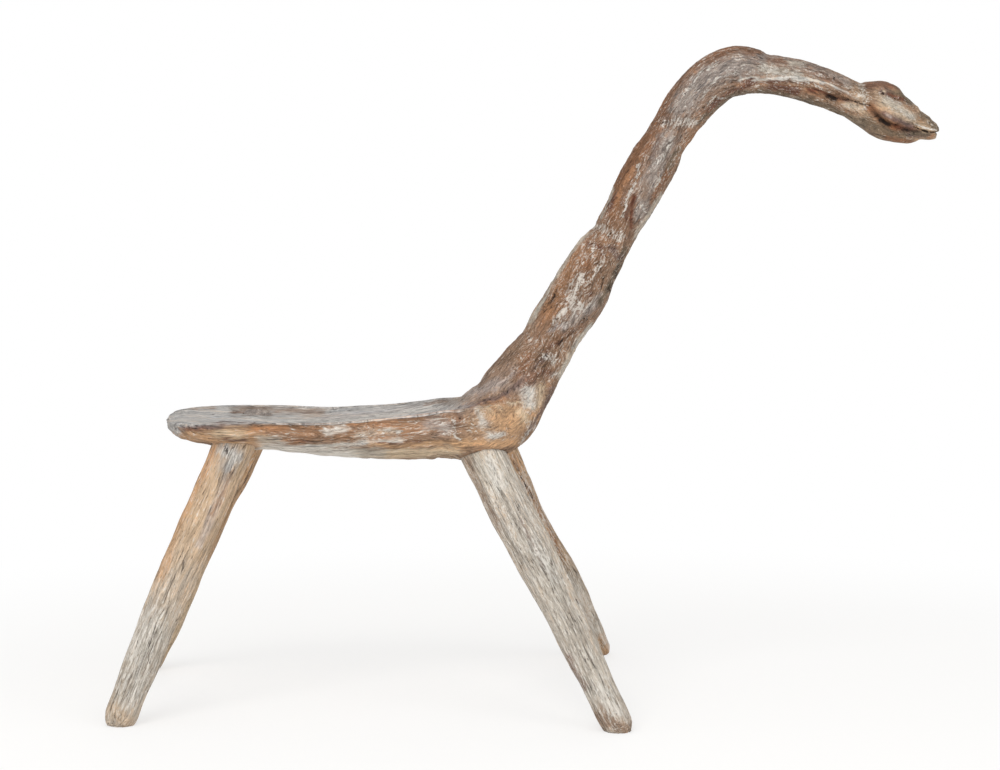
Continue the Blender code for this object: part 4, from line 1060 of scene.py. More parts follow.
# %% Cracks, pits, stains and painted shade, and where the wood is worn smooth
DARK_MARKS_AND_SHADE = strokes(
    ("crack in the top", 0.8, 0.45, (218, 422.2), (236, 422.8), (268, 422)),
    ("pit in the top", 1.3, 1.0, (234.5, 413)),
    ("specks of the rough patch", 2.6, 0.35, (236, 411.5), (262, 412)),
    ("dots of the rough patch", 0.9, 0.6, (233, 412.4), (240, 412), (246, 413), (258, 412.6)),
    # painted shadow: darkens the line below the near rim
    ("line under the near rim", 1.0, 0.5, (186, 427), (204, 426.8), (222, 425.8)),
    ("seam of the bend", 0.9, 0.4, *BEND_SEAM, (548, 353)),
    ("groove on the lower neck", 1.1, 0.5, *NECK_GROOVE),
    ("hollow at the neck's front", 1.4, 1.0, *FRONT_HOLLOW),
    ("red hollow below it", 1.8, 0.5, (543, 311), (549, 304)),
    ("hollow at the neck's back", 1.8, 0.9, *BACK_HOLLOW),
    ("crack at the back", 1.4, 0.7, (608, 292), (613, 281), (618, 266)),
    ("crevice under the ring", 1.0, 0.7, (611, 246), (618, 254), (622, 262)),
    ("line beside the white", 0.9, 0.6, (598, 264), (604, 276), (600, 290)),
    ("crevice on the lower neck", 0.9, 0.6, (560, 346), (569, 335), (578, 327)),
    ("line in the bend", 0.9, 0.6, (700, 110), (712, 103), (728, 95), (742, 90)),
    ("edge of the red slot", 0.8, 0.8, (637, 197), (635.5, 212), (633, 226)),
    ("hook past the bend", 1.3, 0.45, (755, 57), (758, 62), (757, 69)),
    # painted shade inside the carved slot
    ("slot in the groove", 2.2, 1.0, *HEAD_SLOT),
    ("groove to the head", 0.7, 0.8, (838, 99.5), (850, 100), (862, 103.5), (871, 105.5)),
    ("wormhole", 1.1, 0.9, (863, 121)),
    ("line of the lower lid", 0.8, 0.7, (881, 93.5), (888, 97), (903, 100.5), (909, 102.8)),
    ("round the eyeball", 1.0, 0.6, (880.5, 90), (883, 94), (889, 95.5)),
    # painted shade in the deep carved furrow
    ("furrow", 2.3, 1.0, *FURROW_BED),
    ("shade in front of the furrow", 1.4, 0.5, (904, 129.5), (920, 132.6)),
    ("mouth", 0.8, 0.9, (917, 128), (923, 130.8), (930, 132.2), (938, 132.6)),
)
SMOOTHED = strokes(
    ("smooth heel", 16.0, 0.4, (488, 419), (512, 420), (530, 410)),
    ("band over the rear legs", 5.0, 0.4, (440, 446), (512, 445)),
    ("smooth lower band", 5.5, 0.3, (392, 454), (455, 451)),
    ("polished head", 13.0, 0.35, (876, 96), (892, 106), (912, 117)),
)
print(len(DARK_MARKS_AND_SHADE), "dark marks and", len(SMOOTHED), "smooth places")

# %% Laying the attributes on
SIDE_GROUND = "clay"
TOP_GROUND = "ash"
WANDER_PIXELS = 2.6  # how far noise shifts a stroke's edge
COVER_GAIN = 1.15  # a stroke's middle is a little over full, so that mottling doesn't thin all of it
RAGGED_EDGES, GAPS = 0.45, 0.3  # how much mottling breaks up a stroke's edge and its middle
CALM_SHARE = 0.6  # how much of that lime and dark marks take
MOTTLE_PER_METRE = (150.0, 380.0)  # along and across the grain
MOTTLE_SEEDS = (71.0, 83.0, 97.0, 113.0)
WANDER_PER_METRE = (60.0, 160.0)
WANDER_SEEDS = (51.0, 67.0)
WANDER_OCTAVES = 3
FRONT_DROP, FRONT_DROP_END = 0.12, 0.09  # how far the top's tints reach down past the rim at the front end
FAR_DROP = 0.05  # the same along the far rim
SAWN_END = (0.004, 0.012)  # metres along the wood, where the end grain gives way to the painted skin
SAWN_MOTTLE = 0.08
HEAD_BLEND = (-0.03, -0.01)  # metres from the waist, where the head's own rules take over
HEAD_WANDER_SHARE = 0.25
HEAD_CALM = 0.8  # how much of the mottling the polished head loses
TOP_FROM = (-0.03, 0.035)  # sine of the angle above the rim at which the side's tints give way to the top's
TOP_LIME = 0.1  # the most lime that the seat's top keeps
SEAT_END_FADE = (-0.005, 0.06)  # past the slab, where the top's tints give way to the neck's
SEAT_END_RAGGED = 0.012  # metres by which mottling moves that line
RIM_RAGGED = 0.008  # the same for the line along the rim, as a sine


def mottles(grain):
    """Streaky fields of about -1 to 1, one for each seed."""
    return [rough(grain, *MOTTLE_PER_METRE, seed) for seed in MOTTLE_SEEDS]


def broken(cover, mottle):
    """A stroke's cover with ragged edges and gaps."""
    edge = np.sqrt(np.clip(4 * cover * (1 - cover), 0.0, 1.0))
    return np.clip(cover * COVER_GAIN + mottle * (RAGGED_EDGES * edge + GAPS * cover), 0.0, 1.0)


def paint(ground, layers, views, fields):
    """Lays the strokes' colours over a ground, in their order."""
    for i, (name, stroke) in enumerate(layers):
        share = stroke.much * broken(views.cover(stroke), fields[i % len(fields)])
        ground = ground + (np.array(WOODS[name]) - ground) * share[:, None]
    return ground


def gathered(marks, views, fields):
    """The strongest of the strokes at each point."""
    found = np.zeros(len(views.seen))
    for i, stroke in enumerate(marks):
        share = broken(views.cover(stroke), fields[i % len(fields)] * CALM_SHARE)
        found = np.maximum(found, stroke.much * share)
    return found


def wandering(grain, amount):
    """How far, in pixels, each point looks aside for its strokes, so that no edge is drawn with a ruler."""
    ways = [rough(grain, *WANDER_PER_METRE, seed, WANDER_OCTAVES) for seed in WANDER_SEEDS]
    return np.stack(ways, axis=1) * amount


def paint_crook(piece):
    """Tint, lime and dark of every point of the crook."""
    flat = piece.grain.reshape(-1, 3)
    fields = mottles(drawn_out(piece.grain))
    wander = wandering(piece.grain, WANDER_PIXELS)
    body = Views(piece.places, piece.normals, shift=1.0, wander=wander)
    head = Views(piece.places, piece.normals, shift=0.0, wander=wander * HEAD_WANDER_SHARE)
    on_head = smooth_step(flat[:, 0], WAIST_AT + HEAD_BLEND[0], WAIST_AT + HEAD_BLEND[1])
    body.mirrored += (head.mirrored - body.mirrored) * on_head[:, None]
    body.direct += (head.direct - body.direct) * on_head[:, None]
    fields = [field * (1.0 - HEAD_CALM * on_head) for field in fields]
    past_slab = smooth_step(flat[:, 0] - SLAB_LENGTH + fields[2] * SEAT_END_RAGGED, *SEAT_END_FADE)
    above_rim = np.tile(np.sin(RING_ANGLES), len(piece.places))
    above_rim += FRONT_DROP * (1.0 - smooth_step(flat[:, 0], 0.0, FRONT_DROP_END))
    above_rim += FAR_DROP * np.tile(np.cos(RING_ANGLES) > 0, len(piece.places))
    top = smooth_step(above_rim + fields[0] * RIM_RAGGED, *TOP_FROM) * (1.0 - past_slab)
    side = paint(np.tile(WOODS[SIDE_GROUND], (len(flat), 1)), SIDE_TINTS, body, fields)
    deck = paint(np.tile(WOODS[TOP_GROUND], (len(flat), 1)), SEAT_TOP_TINTS, body, fields)
    tint = side + (deck - side) * top[:, None]
    lime = gathered(LIME_AND_PAINTED_LIGHT, body, fields)
    lime = lime + (np.minimum(lime, TOP_LIME) - lime) * top - gathered(BARE, body, fields)
    dark = gathered(DARK_MARKS_AND_SHADE, body, fields)
    dark = dark - gathered(SMOOTHED, body, fields) * (1.0 - dark)
    sawn = 1.0 - smooth_step(flat[:, 0], *SAWN_END)
    end_grain = np.array(WOODS["ash"]) * (1.0 + SAWN_MOTTLE * fields[1][:, None])
    tint = tint + (end_grain - tint) * sawn[:, None]
    return tint, lime * (1.0 - sawn), dark * (1.0 - sawn)


crook_paint = paint_crook(crook)
print("painted", len(crook_paint[0]), "points, lime on", int((crook_paint[1] > 0.5).sum()))

# %% [markdown]
# ## The material
# One recipe serves all the wood. The attributes give the broad picture, and noise drawn out along the grain
# breaks it up: wide streaks shift the hue, narrow ones the brightness, lime stays in specks, and thin checks
# are dark. The grain attribute is the wood's own system of coordinates, so the streaks bend with the crook.
# The same values feed the bump, because on real wood the pale ridges and dark pores are relief as well. The
# weights in the sums were found beside the photograph.

# %% Weathered wood
Finish = namedtuple("Finish", "streaks lime cracks bump waver")
RUSTY, GREYED = (1.03, 0.86, 0.70), (0.90, 0.94, 1.0)  # what a streak does to the wood's red, green and blue
RUSTY_SHARE, COOL_SHARE = 0.55, 0.6  # the most that such a streak covers
DARKEST_STREAK = 0.35  # of the wood's own brightness
# pitch covers pits, cracks and stains, and the painted shade that the dark attribute carries
CHALK_SHARE, VEIN_SHARE, PITCH_SHARE = 0.8, 0.45, 0.9  # how fully lime, its thin veins and cracks cover
LIME_PULL, STAIN_AND_SHADE_PULL, CRACK_PULL = 3.2, 3.0, 2.5  # how strongly the painted attributes steer the noise
WAVES_PER_METRE = (45.0, 90.0, 90.0)  # of the slow noise that lets the grain waver
MATT, CHALKY_MATT, RUSTY_SHEEN = 0.80, 0.12, 0.08  # roughness, what lime adds and what rusty wood takes away
BUMP_DISTANCE = 0.0006
SHINE = 0.3  # dry wood reflects less than the shader's usual 0.5
FIELDS = [  # repeats to the metre along and across the grain, octaves, roughness, distortion, seed
    (30.0, 75.0, 3, 0.6, 0.0, 0.0),  # patches
    (45.0, 110.0, 3, 0.6, 0.0, 4.0),  # cool patches
    (80.0, 560.0, 3, 0.7, 0.0, 0.0),  # streaks
    (420.0, 800.0, 3, 0.7, 0.5, 8.0),  # flakes
    (360.0, 700.0, 3, 0.7, 0.4, 12.0),  # pits
    (22.0, 240.0, 2, 0.5, 0.0, 16.0),  # seams, of which the places near 0 are cracks
    (26.0, 280.0, 2, 0.5, 0.0, 20.0),  # veins, of which the places near 0 hold lime
]


def weathered_wood(name, finish, offset):
    """The recipe with one finish, at its own place in the noise."""
    material = bpy.data.materials.new(name)
    material.use_nodes = True
    tree = material.node_tree
    shader = tree.nodes["Principled BSDF"]
    root = Strand(tree, None)

    def attribute(which, output):
        settings = {"attribute_type": "GEOMETRY", "attribute_name": which}
        return root.node("ShaderNodeAttribute", settings, {}, output)

    tint, lime, dark = attribute("tint", 0), attribute("lime", 2), attribute("dark", 2)
    grain = attribute("grain", 1) + offset
    sideways = root.node("ShaderNodeTexNoise", {}, {"Vector": grain * WAVES_PER_METRE, "Scale": 1.0}, 1)
    wavy = grain + (sideways - 0.5) * (0.0, finish.waver, finish.waver)
    patches, cool_patches, streaks, flakes, pits, seams, veins = (
        wavy.noise((along, across, across), *rest) for along, across, *rest in FIELDS
    )

    rusty = (patches * 0.8 + streaks * 0.5).step(0.3, 1.8) * RUSTY_SHARE
    cool = (cool_patches * 0.9 + streaks * -0.3).step(0.4, 1.8) * COOL_SHARE
    wood = rusty.blend(tint, tint * RUSTY)
    wood = cool.blend(wood, wood * GREYED)
    shade = 1.0 + (streaks * 0.65 + flakes * 0.35 + patches * 0.35) * finish.streaks
    wood = wood * shade.larger(DARKEST_STREAK)

    specks = flakes * 0.8 + streaks * 0.7 + patches * 0.3 + lime * LIME_PULL
    left = specks.step(0.8 - finish.lime, 3.2 - finish.lime)
    veins = 1.0 - abs(veins).step(0.03, 0.16)
    left = left.larger(veins * (lime * 3.0 + patches * 0.4 + flakes * 0.3).step(0.5, 2.2) * VEIN_SHARE)
    chalky = (left * CHALK_SHARE).blend(wood, (*WOODS["chalk"], 1.0))

    # the dark attribute pulls in pitch both for stains and for painted shade
    pits_stains_and_shade = (pits * 0.8 + streaks * -0.35 + dark * STAIN_AND_SHADE_PULL).step(1.4, 2.8)
    cracked = 1.0 - abs(seams).step(0.04, 0.18)
    cracked = cracked * (patches * -0.7 + streaks * -0.3).step(0.3, 1.3) * finish.cracks
    cracked = cracked * (1.0 + dark * CRACK_PULL).larger(0.0)
    # pits, cracks, stains and painted shade, all in pitch
    pits_cracks_and_shade = pits_stains_and_shade.larger(cracked)
    colour = (pits_cracks_and_shade * PITCH_SHARE).blend(chalky, (*WOODS["pitch"], 1.0))

    height = streaks * 0.35 + flakes * 0.3 + left * 0.4 - pits_cracks_and_shade * 1.4
    settings = {"Strength": finish.bump, "Distance": BUMP_DISTANCE, "Height": height}
    bump = root.node("ShaderNodeBump", {}, settings)
    tree.links.new(colour.socket, shader.inputs["Base Color"])
    tree.links.new((MATT + left * CHALKY_MATT - rusty * RUSTY_SHEEN).socket, shader.inputs["Roughness"])
    tree.links.new(bump.socket, shader.inputs["Normal"])
    shader.inputs["Specular IOR Level"].default_value = SHINE
    return material


CROOK_WOOD = weathered_wood("weathered_crook", Finish(0.26, 0.0, 0.7, 0.9, 0.014), (0.0, 0.0, 0.0))
LEG_WOOD = weathered_wood("limed_leg", Finish(0.23, 0.1, 0.8, 0.9, 0.009), (1.7, 0.4, 0.9))
WEDGE_WOOD = weathered_wood("dark_wedge", Finish(0.24, -0.2, 0.4, 0.6, 0.009), (3.1, 0.2, 0.6))
print("materials:", [m.name for m in (CROOK_WOOD, LEG_WOOD, WEDGE_WOOD)])

# %% [markdown]
# ## From a grid to a mesh
# A grid of rings becomes quads between neighbours and a fan at each end. The painted values go along as
# attributes. Sockets and kerfs are cut with a Boolean, which is what a drill and a saw do, and afterwards
# each point looks up its attributes from the nearest point of the uncut skin.

# %% Meshes with attributes
SHARP_ANGLE = math.radians(55)
Painted = namedtuple("Painted", "grain tint lime dark")


def of_points(values):
    """The values of a grid as the mesh lists them: one for each end's middle, and the rings between."""
    return np.concatenate([values[0, :1], values[1:-1].reshape(-1, values.shape[-1]), values[-1, :1]])


def painted_points(grain, paint_of_grid):
    """Grain, tint, lime and dark of a grid's points as the mesh lists them."""
    shape = grain.shape[:2]
    return Painted(of_points(grain), *(of_points(v.reshape(*shape, -1)).squeeze() for v in paint_of_grid))


def mesh_of_grid(name, places):
    """Quads between neighbouring rings, and fans to the single points at both ends."""
    rings, sides = places.shape[0] - 2, places.shape[1]
    ring = np.arange(sides)
    after = (ring + 1) % sides
    last = rings * sides + 1
    faces = [(0, 1 + b, 1 + a) for a, b in zip(ring, after)]
    for i in range(rings - 1):
        low, high = 1 + i * sides, 1 + (i + 1) * sides
        faces.extend(zip(low + ring, low + after, high + after, high + ring))
    top = 1 + (rings - 1) * sides
    faces.extend((top + a, top + b, last) for a, b in zip(ring, after))
    mesh = bpy.data.meshes.new(name)
    mesh.from_pydata(of_points(places).tolist(), [], [tuple(int(i) for i in face) for face in faces])
    mesh.update()
    return mesh


def put_attributes(mesh, painted):
    """Gives each point of the mesh its four attributes."""
    kinds = ("FLOAT_VECTOR", "vector"), ("FLOAT_COLOR", "color"), ("FLOAT", "value"), ("FLOAT", "value")
    for name, values, (kind, slot) in zip(Painted._fields, painted, kinds):
        if name == "tint":
            values = np.column_stack([values, np.ones(len(values))])
        made = mesh.attributes.new(name, kind, "POINT")
        made.data.foreach_set(slot, np.ascontiguousarray(values, dtype=np.float32).ravel())


def points_of(mesh):
    """Where the mesh's points lie."""
    found = np.empty(len(mesh.vertices) * 3)
    mesh.vertices.foreach_get("co", found)
    return found.reshape(-1, 3)


def cut_away(mesh, cutter_mesh):
    """The mesh less the cutter, by an exact Boolean that is applied at once."""
    target = bpy.data.objects.new("target", mesh)
    cutter = bpy.data.objects.new("cutter", cutter_mesh)
    for made in (target, cutter):
        bpy.context.collection.objects.link(made)
    modifier = target.modifiers.new("cut", "BOOLEAN")
    modifier.object = cutter
    modifier.solver = "EXACT"
    shaped = target.evaluated_get(bpy.context.evaluated_depsgraph_get())
    result = bpy.data.meshes.new_from_object(shaped)
    for made in (target, cutter):
        bpy.data.objects.remove(made, do_unlink=True)
    return result


def finished(name, mesh, painted, source_points, material):
    """The piece as an object that rides on the stool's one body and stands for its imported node."""
    tree = KDTree(len(source_points))
    for i, place in enumerate(source_points.tolist()):
        tree.insert(place, i)
    tree.balance()
    nearest = np.array([tree.find(place)[1] for place in points_of(mesh).tolist()])
    put_attributes(mesh, Painted(*(values[nearest] for values in painted)))
    mesh.shade_smooth()
    mesh.set_sharp_from_angle(angle=SHARP_ANGLE)
    mesh.materials.clear()
    mesh.materials.append(material)
    piece = bpy.data.objects.new(name, mesh)
    bpy.context.collection.objects.link(piece)
    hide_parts(name.removeprefix("worked_"))
    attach(piece, "root")
    print(name, len(mesh.vertices), "points", [round(d * 1000, 1) for d in piece.dimensions], "mm")


# %% [markdown]
# ## The legs and their sockets
# Each leg is a hewn stick: a round branch with flats cut along it, a foot worn round at the edge and flat on
# the floor, and a round tenon at the top. The front tenons go right through the thin seat and are wedged from
# above. The rear ones stop inside the thick heel. A leg's axis runs from its foot on the floor to its socket,
# and everything on it is placed by the distance from the foot.

# %% Where the legs stand
GAP = 0.0003  # between pieces that fit together
FLUSH_STAND = 0.0004  # how far the through tenons stand over the seat
OVERRUN = 0.006  # how far a cutter passes the surface it opens
FRONT_HOUSING_DEPTH, REAR_HOUSING_DEPTH = 0.007, 0.014  # of the leg's full thickness in the seat
FRONT_TENON_DIAMETER, REAR_TENON_DIAMETER = 0.026, 0.028
REAR_TENON_LENGTH = 0.024
KERF_DEPTH = 0.017
WEDGE_THICK_END, WEDGE_THIN_END = 0.0046, 0.0016
SOCKET_LEVEL_SHARE = 0.56  # of the seat's thickness below its height, where a leg's axis is set out
SOCKET_LEVEL = SEAT_HEIGHT - SOCKET_LEVEL_SHARE * SEAT_THICKNESS
STRAIGHT_TOP_SHARE = 0.86  # of the leg's length to its shoulder, from where on it is straight
SWELL_SHARES = [(0.08, 0.07), (0.2, 0.25), (0.35, 0.6), (0.5, 0.85), (0.65, 1.02), (0.8, 1.04)]
FOOT_SHARES = [
    (-0.17, 0.08), (-0.15, 0.36), (-0.11, 0.54), (-0.05, 0.68),
    (0.03, 0.80), (0.12, 0.88), (0.22, 0.94), (0.36, 0.99),
]

Leg = namedtuple("Leg", "along across splay_x splay_y top foot tenon through bow")
FRONT_ALONG = (0.245 * SLAB_LENGTH, 0.283 * SLAB_LENGTH)  # the left leg's and the right leg's
REAR_ALONG = (SLAB_LENGTH + 0.098 * NECK_REACH, SLAB_LENGTH + 0.131 * NECK_REACH)
FRONT_ACROSS, REAR_ACROSS = 0.66 * SEAT_WIDTH / 2, 0.53 * NECK_WIDTH
FRONT_STICK = (0.0415, 0.034, FRONT_TENON_DIAMETER, True)  # thickness at the top and at the foot, tenon
REAR_STICK = (0.045, 0.0315, REAR_TENON_DIAMETER, False)
LEG_BOW = 0.003
LEGS = {
    "front_left": Leg(FRONT_ALONG[0], -FRONT_ACROSS, -0.1055, -0.107, *FRONT_STICK, LEG_BOW),
    "front_right": Leg(FRONT_ALONG[1], FRONT_ACROSS, -0.111, 0.070, *FRONT_STICK, 0.0),
    "rear_left": Leg(REAR_ALONG[0], -REAR_ACROSS, 0.127, -0.191, *REAR_STICK, LEG_BOW),
    "rear_right": Leg(REAR_ALONG[1], REAR_ACROSS, 0.1255, 0.172, *REAR_STICK, LEG_BOW),
}

crook_mesh = mesh_of_grid("crook_skin", crook.places)
shaping = bmesh.new()
shaping.from_mesh(crook_mesh)
crook_tree = BVHTree.FromBMesh(shaping)
shaping.free()


class LegPlace:
    """A leg's axis and the distances along it that matter."""

    def __init__(self, leg):
        self.leg = leg
        socket = Vector((FRONT_END + leg.along, MIDDLE_PLANE + leg.across, SOCKET_LEVEL))
        self.foot = Vector((socket.x + leg.splay_x, socket.y + leg.splay_y, 0.0))
        self.way = (socket - self.foot).normalized()
        underside = crook_tree.ray_cast(self.foot, self.way)[0]
        self.top, self.top_normal, _, _ = crook_tree.ray_cast(underside + self.way * GAP, self.way)
        housing = FRONT_HOUSING_DEPTH if leg.through else REAR_HOUSING_DEPTH
        self.shoulder = (underside - self.foot).length + housing
        self.end = self.shoulder + REAR_TENON_LENGTH
        if leg.through:
            self.end = (self.top - self.foot).length + OVERRUN + leg.tenon / 2
        self.finish = self.top + self.top_normal * FLUSH_STAND
        outward = Vector((leg.splay_x, leg.splay_y, 0.0)).normalized()
        self.side = self.way.cross(outward).normalized()
        self.front = self.side.cross(self.way)


places_of_legs = {name: LegPlace(leg) for name, leg in LEGS.items()}
for name, place in places_of_legs.items():
    shoulder, end = round(place.shoulder, 4), round(place.end, 4)
    print(name, "shoulder at", shoulder, "m from the foot, tenon's end at", end)

# %% Grids round an axis
LEG_POINTS = 96
LEG_STEP = 0.0015


def round_grid(place, rows, sides, radius_at=None):
    """Rings square to a leg's axis. A row is a distance from the foot, a radius and an offset."""
    angle = np.linspace(0.0, 2 * math.pi, sides, endpoint=False)[None, :]
    distance, radius, offset = (rows[:, i][:, None] for i in range(3))
    if radius_at is not None:
        radius = radius_at(distance, angle, radius)
    else:
        radius = np.broadcast_to(radius, (len(rows), sides))
    front, side, way = (np.array(v) for v in (place.front, place.side, place.way))
    middle = np.array(place.foot) + distance[..., None] * way + offset[..., None] * front
    across, up = radius * np.cos(angle), radius * np.sin(angle)
    places = middle + across[..., None] * front + up[..., None] * side
    grain = np.stack([np.broadcast_to(distance, across.shape), across, up], axis=-1)
    return places, grain


def slid_to_plane(places, way, point, normal):
    """Moves what lies beyond a plane back along the axis onto it, which leaves a flat end."""
    way, point, normal = np.array(way), np.array(point), np.array(normal)
    beyond = (places - point) @ normal
    return places - np.where(beyond > 0, beyond / (way @ normal), 0.0)[..., None] * way


def socket_mesh(name, place):
    """The cutter for a leg's housing and the bore of its tenon, a gap wider than the leg itself."""
    leg = place.leg
    step = place.shoulder + GAP
    end = place.end + (OVERRUN if leg.through else GAP)
    rows = np.array([
        (STRAIGHT_TOP_SHARE * place.shoulder, 0.0, 0.0),
        (STRAIGHT_TOP_SHARE * place.shoulder, leg.top / 2 + GAP, 0.0),
        (step, leg.top / 2 + GAP, 0.0),
        (step, leg.tenon / 2 + GAP, 0.0),
        (end, leg.tenon / 2 + GAP, 0.0),
        (end, 0.0, 0.0),
    ])
    return mesh_of_grid(name, round_grid(place, rows, LEG_POINTS)[0])


print("a leg has", LEG_POINTS, "points around it and a ring every", LEG_STEP * 1000, "mm")

# %% The crook with its sockets
cutters = bmesh.new()
for name, place in places_of_legs.items():
    cutters.from_mesh(socket_mesh(name + "_socket", place))
bmesh.ops.recalc_face_normals(cutters, faces=cutters.faces)
sockets = bpy.data.meshes.new("sockets")
cutters.to_mesh(sockets)
cutters.free()

crook_attributes = painted_points(drawn_out(crook.grain), crook_paint)
crook_points = points_of(crook_mesh)
finished(
    "worked_seat_neck_and_head", cut_away(crook_mesh, sockets), crook_attributes, crook_points,
    CROOK_WOOD,
)

# %% [markdown]
# ## Hewing the legs
# A drawknife leaves flats that wander a little as it follows the stick. Each flat is a plane at some distance
# from the axis, and the stick's radius at an angle is whichever plane is nearest there. A soft minimum rounds
# the edges between them. The two far legs have a long hollow along the edge that shows behind the near ones.
# The legs are painted with strokes like the crook, each leg with its own.

# %% Flats and furrows
FLATS = 7
FLAT_SHARES = (0.90, 0.97)  # a flat's distance from the axis, as shares of the radius
EDGE_SOFTNESS = 0.0005  # metres over which the edge between two flats is rounded
FLAT_WAVES_PER_METRE = 14.0  # how often a flat wanders along the leg
FLAT_WANDER = 0.25  # how far it wanders round the leg, in radians, and how unevenly the flats are spread
FLAT_APART, FLAT_SPREAD = 3.7, 5.1  # steps through the noise from flat to flat
GRAZING = 0.2  # the least cosine by which a flat's distance is divided
LEG_LUMPS = Layer(22.0, 60.0, 0.0008, 0.4, 5.0)
LEG_FURROWS = Layer(50.0, 230.0, 0.0009, 0.3, 9.0)
LEG_DRAW = 0.4  # how far a leg's straight grain is drawn out


def hewn_radius(seed):
    """How the flats cut into a round stick."""
    def radius_at(distance, angle, radius):
        total = np.exp(-np.broadcast_to(radius, (len(distance), angle.shape[1])) / EDGE_SOFTNESS)
        low, high = FLAT_SHARES
        for flat in range(FLATS):
            spots = [(float(d) * FLAT_WAVES_PER_METRE, flat * FLAT_APART, seed) for d in distance[:, 0]]
            wobble = np.array([noise.noise(spot) for spot in spots])
            uneven = FLAT_WANDER * noise.noise((flat * FLAT_SPREAD, seed, 0.5))
            turn = 2 * math.pi * (flat + uneven) / FLATS
            away = (turn + wobble * FLAT_WANDER)[:, None] - angle
            reach = radius * (low + (high - low) * (0.5 + wobble))[:, None]
            plane = reach / np.maximum(np.cos(away), GRAZING)
            total = total + np.exp(-plane / EDGE_SOFTNESS)
        return -EDGE_SOFTNESS * np.log(total)
    return radius_at


print(FLATS, "flats on each leg")

# %% Rings of a leg
SOLE_SHARES = (0.0, 0.5)  # rings inside the foot's first one, as shares of its radius
SHOULDER_SHARES = (0.45, 0.2, 0.0)  # rings on the shoulder, from the leg's edge in to the tenon
PEG_END_SHARES = (0.8, 0.6, 0.4, 0.2, 0.0)


def leg_rows(place):
    """Distances, radii and offsets of a leg's rings, from under the foot to the tenon's end."""
    leg, length = place.leg, place.shoulder
    rows = [(along * leg.foot, radius * leg.foot / 2, 0.0) for along, radius in FOOT_SHARES]
    for along, swell in SWELL_SHARES:
        bow = leg.bow * math.sin(math.pi * along / STRAIGHT_TOP_SHARE) ** 2
        rows.append((along * length, (leg.foot + (leg.top - leg.foot) * swell) / 2, bow))
    rows += [(STRAIGHT_TOP_SHARE * length, leg.top / 2, 0.0), (length, leg.top / 2, 0.0)]
    rows = np.array(rows)
    dense = []
    for i in range(len(rows) - 1):
        count = max(1, round((rows[i + 1, 0] - rows[i, 0]) / LEG_STEP))
        dense.append(between(rows, i, np.arange(count) / count))
    shank = np.concatenate(dense + [rows[-1:]])
    tenon = leg.tenon / 2
    under = [(rows[0, 0], rows[0, 1] * share, 0.0) for share in SOLE_SHARES]
    count = max(2, round((place.end - length) / LEG_STEP))
    peg = [(length, leg.top * share + tenon * (1 - share * 2), 0.0) for share in SHOULDER_SHARES]
    peg += [(length + (place.end - length) * k / count, tenon, 0.0) for k in range(1, count + 1)]
    peg += [(place.end, tenon * share, 0.0) for share in PEG_END_SHARES]
    return np.concatenate([under, shank, peg]), len(under) + len(shank)


print("the longest leg has", max(len(leg_rows(place)[0]) for place in places_of_legs.values()), "rings")

# %% Hollows and colours of the legs
LEG_CUTS = {
    "front_left": strokes(),
    "front_right": strokes(("hollow of the far edge", 24.0, 0.0036, (232, 510), (206, 570))),
    "rear_left": strokes(),
    "rear_right": strokes(("hollow of the far edge", 34.0, 0.0062, (549, 510), (555, 522))),
}
LEG_TINTS = {
    "front_left": tints(
        ("tan", "tan upper half", 30.0, 0.9, (225, 460), (185, 560)),
        ("drift", "where the grey begins", 34.0, 0.5, (172, 592), (150, 640)),
        ("drift", "grey-white lower half", 30.0, 0.8, (148, 640), (125, 710)),
        ("honey", "orange edge", 5.0, 0.8, (212, 452), (180, 520), (160, 575)),
        ("ash", "blue-white patch", 8.0, 0.9, (226, 449), (236, 456), (228, 466)),
        ("lilac", "pink streak", 4.0, 0.6, (226, 480), (200, 545)),
        ("clay", "brown streak", 1.6, 0.7, (232, 470), (212, 515)),
        ("tan", "yellow foot", 7.0, 0.7, (112, 708), (128, 722)),
    ),
    "front_right": tints(
        ("honey", "brown strip", 12.0, 0.8, (256, 450), (240, 500), (215, 560)),
        ("bone", "lower part", 14.0, 0.8, (205, 575), (170, 650)),
    ),
    "rear_left": tints(
        ("drift", "limed face", 40.0, 0.9, (490, 460), (560, 600), (610, 720)),
        ("stone", "white upper face", 10.0, 0.8, (488, 458), (500, 485)),
        ("clay", "brown left edge", 3.4, 0.6, (466, 458), (480, 490), (500, 530)),
        ("wine", "reddish edge low down", 3.0, 0.7, (568, 655), (584, 688)),
        ("plum", "purple streak", 1.8, 0.5, (520, 520), (545, 570)),
        ("clay", "brown foot", 10.0, 0.8, (600, 718), (628, 732)),
    ),
    "rear_right": tints(
        ("honey", "orange upper half", 16.0, 0.6, (512, 455), (545, 520), (560, 560)),
        ("drift", "paler lower half", 14.0, 0.7, (570, 580), (600, 640)),
        ("rust", "dark red line", 1.6, 0.8, (511, 455), (530, 492), (552, 535), (562, 558)),
        ("honey", "orange foot", 6.0, 0.9, (601, 640), (607, 656)),
    ),
}
LEG_DARKS = {
    "front_left": strokes(
        ("marks in the patch", 1.2, 0.9, (225.5, 446), (228, 454)),
        ("short crack", 0.9, 0.5, (236, 462), (228, 480)),
    ),
    # painted shade: a dark line where the far leg shows behind the near one
    "front_right": strokes(("dark line", 1.4, 0.45, (256, 452), (244, 486), (236, 508))),
    "rear_left": strokes(
        ("long crack", 0.9, 0.6, (508, 492), (516, 505), (524, 521)),
        ("second crack", 0.8, 0.7, (548, 580), (562, 608)),
    ),
    "rear_right": strokes(("dark line", 0.9, 0.7, (514, 462), (533, 498))),
}
